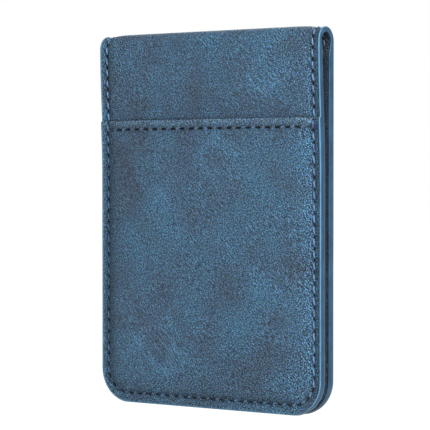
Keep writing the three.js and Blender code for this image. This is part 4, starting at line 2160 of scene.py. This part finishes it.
@dataclass
class Crown:
    """The two stitches that lie across the crown of the fold, one on each side."""

    sizes: HolderSizes
    finishes: Finishes

    def build(self) -> None:
        """Builds each stitch on the spine."""
        sizes = self.sizes
        line = SeamLine(sizes)
        cover = LeatherLayer(Side.FRONT, sizes, sizes.cover)
        seam = Seam(cover, Face.OUTER)
        for sign, label in ((-1.0, "left"), (1.0, "right")):
            centre = np.array([[sign * sizes.seam_x, sizes.tall]])
            way = np.array([[0.0, -1.0]])
            piece = seam.lay(centre, way, line.pitch).build(
                f"crown_stitch_{label}", self.finishes.thread
            )
            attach(piece, "spine")
            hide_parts(f"seam_spine_{label}")


@dataclass
class HiddenParts:
    """The boards, magnets and plates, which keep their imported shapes."""

    finishes: Finishes

    def finish_of(self, name: str) -> bpy.types.Material | None:
        """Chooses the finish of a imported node.

        Args:
            name: The node's name.

        Returns:
            Its finish, or nothing where a new piece stands for the node.
        """
        if name.startswith(("ring_magnet", "closure_magnet")):
            return self.finishes.magnet
        if name.startswith("closure_plate"):
            return self.finishes.steel
        if name.endswith("board") or name == "ring_filler":
            return self.finishes.board
        return None

    def dress(self) -> None:
        """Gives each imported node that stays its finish."""
        for name, piece in frame["nodes"].items():
            finish = self.finish_of(name)
            if finish is not None:
                piece.data.materials.clear()
                piece.data.materials.append(finish)
                LOG.info("%s: %s", name, finish.name)


@dataclass(frozen=True)
class Lamp:
    """A square light: its place and width in metres, and its power in watts."""

    name: str
    place: Colour
    width: float
    power: float


@dataclass
class Studio:
    """The camera, the lights and the white floor."""

    sizes: HolderSizes
    camera_place: Colour = (292.2 * MM, -419.8 * MM, 11.65 * MM)
    camera_yaw: float = 35.01
    camera_pitch: float = -1.165
    lens: float = 164.04
    sensor: float = 36.0
    clip: tuple[float, float] = (0.01, 50.0)
    ambient: float = 0.21
    lamps: tuple[Lamp, ...] = (
        Lamp("key", (0.8, -0.25, 0.34), 0.3, 13.8),
        Lamp("rear", (-0.3, 0.8, 0.4), 0.6, 6.0),
    )
    floor_half: float = 6.0
    floor_tone: float = 0.86
    floor_glow: float = 1.1
    glow_share: float = 0.9

    def build(self) -> None:
        """Builds everything round the holder."""
        bpy.context.scene.view_settings.view_transform = "Standard"
        self.add_camera()
        self.add_world()
        self.add_floor()
        for lamp in self.lamps:
            self.add_light(lamp)

    def add_camera(self) -> None:
        """Adds the camera at the photograph's viewing angle."""
        camera = bpy.data.objects.new("camera", bpy.data.cameras.new("camera"))
        camera.data.lens = self.lens
        camera.data.sensor_width = self.sensor
        camera.data.clip_start, camera.data.clip_end = self.clip
        camera.location = self.camera_place
        pitch = math.radians(90 + self.camera_pitch)
        camera.rotation_euler = (pitch, 0.0, math.radians(self.camera_yaw))
        bpy.context.scene.collection.objects.link(camera)
        bpy.context.scene.camera = camera

    def add_light(self, lamp: Lamp) -> None:
        """Adds a light that faces the holder's middle.

        Args:
            lamp: The light.
        """
        light = bpy.data.lights.new(lamp.name, "AREA")
        light.size = lamp.width
        light.energy = lamp.power
        holder = bpy.data.objects.new(lamp.name, light)
        holder.location = lamp.place
        away = np.array(lamp.place) / np.linalg.norm(lamp.place)
        holder.rotation_euler = (
            math.acos(away[2]), 0.0, math.atan2(away[1], away[0]) + math.pi / 2
        )
        bpy.context.scene.collection.objects.link(holder)

    def seen(self, nodes: Nodes) -> bpy.types.NodeSocket:
        """Tells the rays that show the background from those that light the holder.

        Args:
            nodes: The nodes of the floor's material.

        Returns:
            One for the rays that show the background, zero for the others.
        """
        path = nodes.add("ShaderNodeLightPath")
        both = nodes.maths("MAXIMUM", path.outputs["Is Camera Ray"], path.outputs["Is Glossy Ray"])
        return nodes.maths("MAXIMUM", both, path.outputs["Is Transmission Ray"])

    def add_world(self) -> None:
        """White to the eye, and a softer white that lights the holder."""
        world = bpy.data.worlds.new("studio")
        world.use_nodes = True
        bpy.context.scene.world = world
        nodes = Nodes(world.node_tree)
        background = world.node_tree.nodes["Background"]
        background.inputs["Color"].default_value = (1.0, 1.0, 1.0, 1.0)
        path = nodes.add("ShaderNodeLightPath")
        shown = nodes.maths(
            "MAXIMUM", path.outputs["Is Camera Ray"], path.outputs["Is Transmission Ray"]
        )
        strength = nodes.maths(
            "ADD", nodes.maths("MULTIPLY", shown, 1.0 - self.ambient), self.ambient
        )
        nodes.join(strength, background.inputs["Strength"])

    def add_floor(self) -> None:
        """A white floor under the bottom edge that keeps a faint shadow."""
        half = self.floor_half
        z = self.sizes.bottom
        mesh = bpy.data.meshes.new("floor")
        corners = [(-half, -half, z), (half, -half, z), (half, half, z), (-half, half, z)]
        mesh.from_pydata(corners, [], [(0, 1, 2, 3)])
        material = bpy.data.materials.new("floor")
        material.use_nodes = True
        nodes = Nodes(material.node_tree)
        material.node_tree.nodes.clear()
        plain = nodes.add("ShaderNodeBsdfDiffuse")
        plain.inputs["Color"].default_value = (*[self.floor_tone] * 3, 1.0)
        glow = nodes.add("ShaderNodeEmission", Strength=self.floor_glow)
        mixer = nodes.add("ShaderNodeMixShader")
        output = nodes.add("ShaderNodeOutputMaterial")
        share = nodes.maths("MULTIPLY", self.seen(nodes), self.glow_share)
        nodes.join(share, mixer.inputs[0])
        nodes.join(plain.outputs[0], mixer.inputs[1])
        nodes.join(glow.outputs[0], mixer.inputs[2])
        nodes.join(mixer.outputs[0], output.inputs["Surface"])
        mesh.materials.append(material)
        floor = bpy.data.objects.new("floor", mesh)
        bpy.context.scene.collection.objects.link(floor)


def main() -> None:
    """Builds the studio and every piece of the holder, in order."""
    logging.basicConfig(level=logging.INFO, format="%(message)s")
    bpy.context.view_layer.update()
    sizes = HolderSizes.from_frame()
    Studio(sizes).build()
    finishes = Finishes()
    rider = FoldRider(sizes)
    Panel(Side.BACK, sizes, finishes, rider).build()
    FrontPanel(Side.FRONT, sizes, finishes, rider).build()
    Crown(sizes, finishes).build()
    HiddenParts(finishes).dress()


if __name__ == "__main__":
    main()
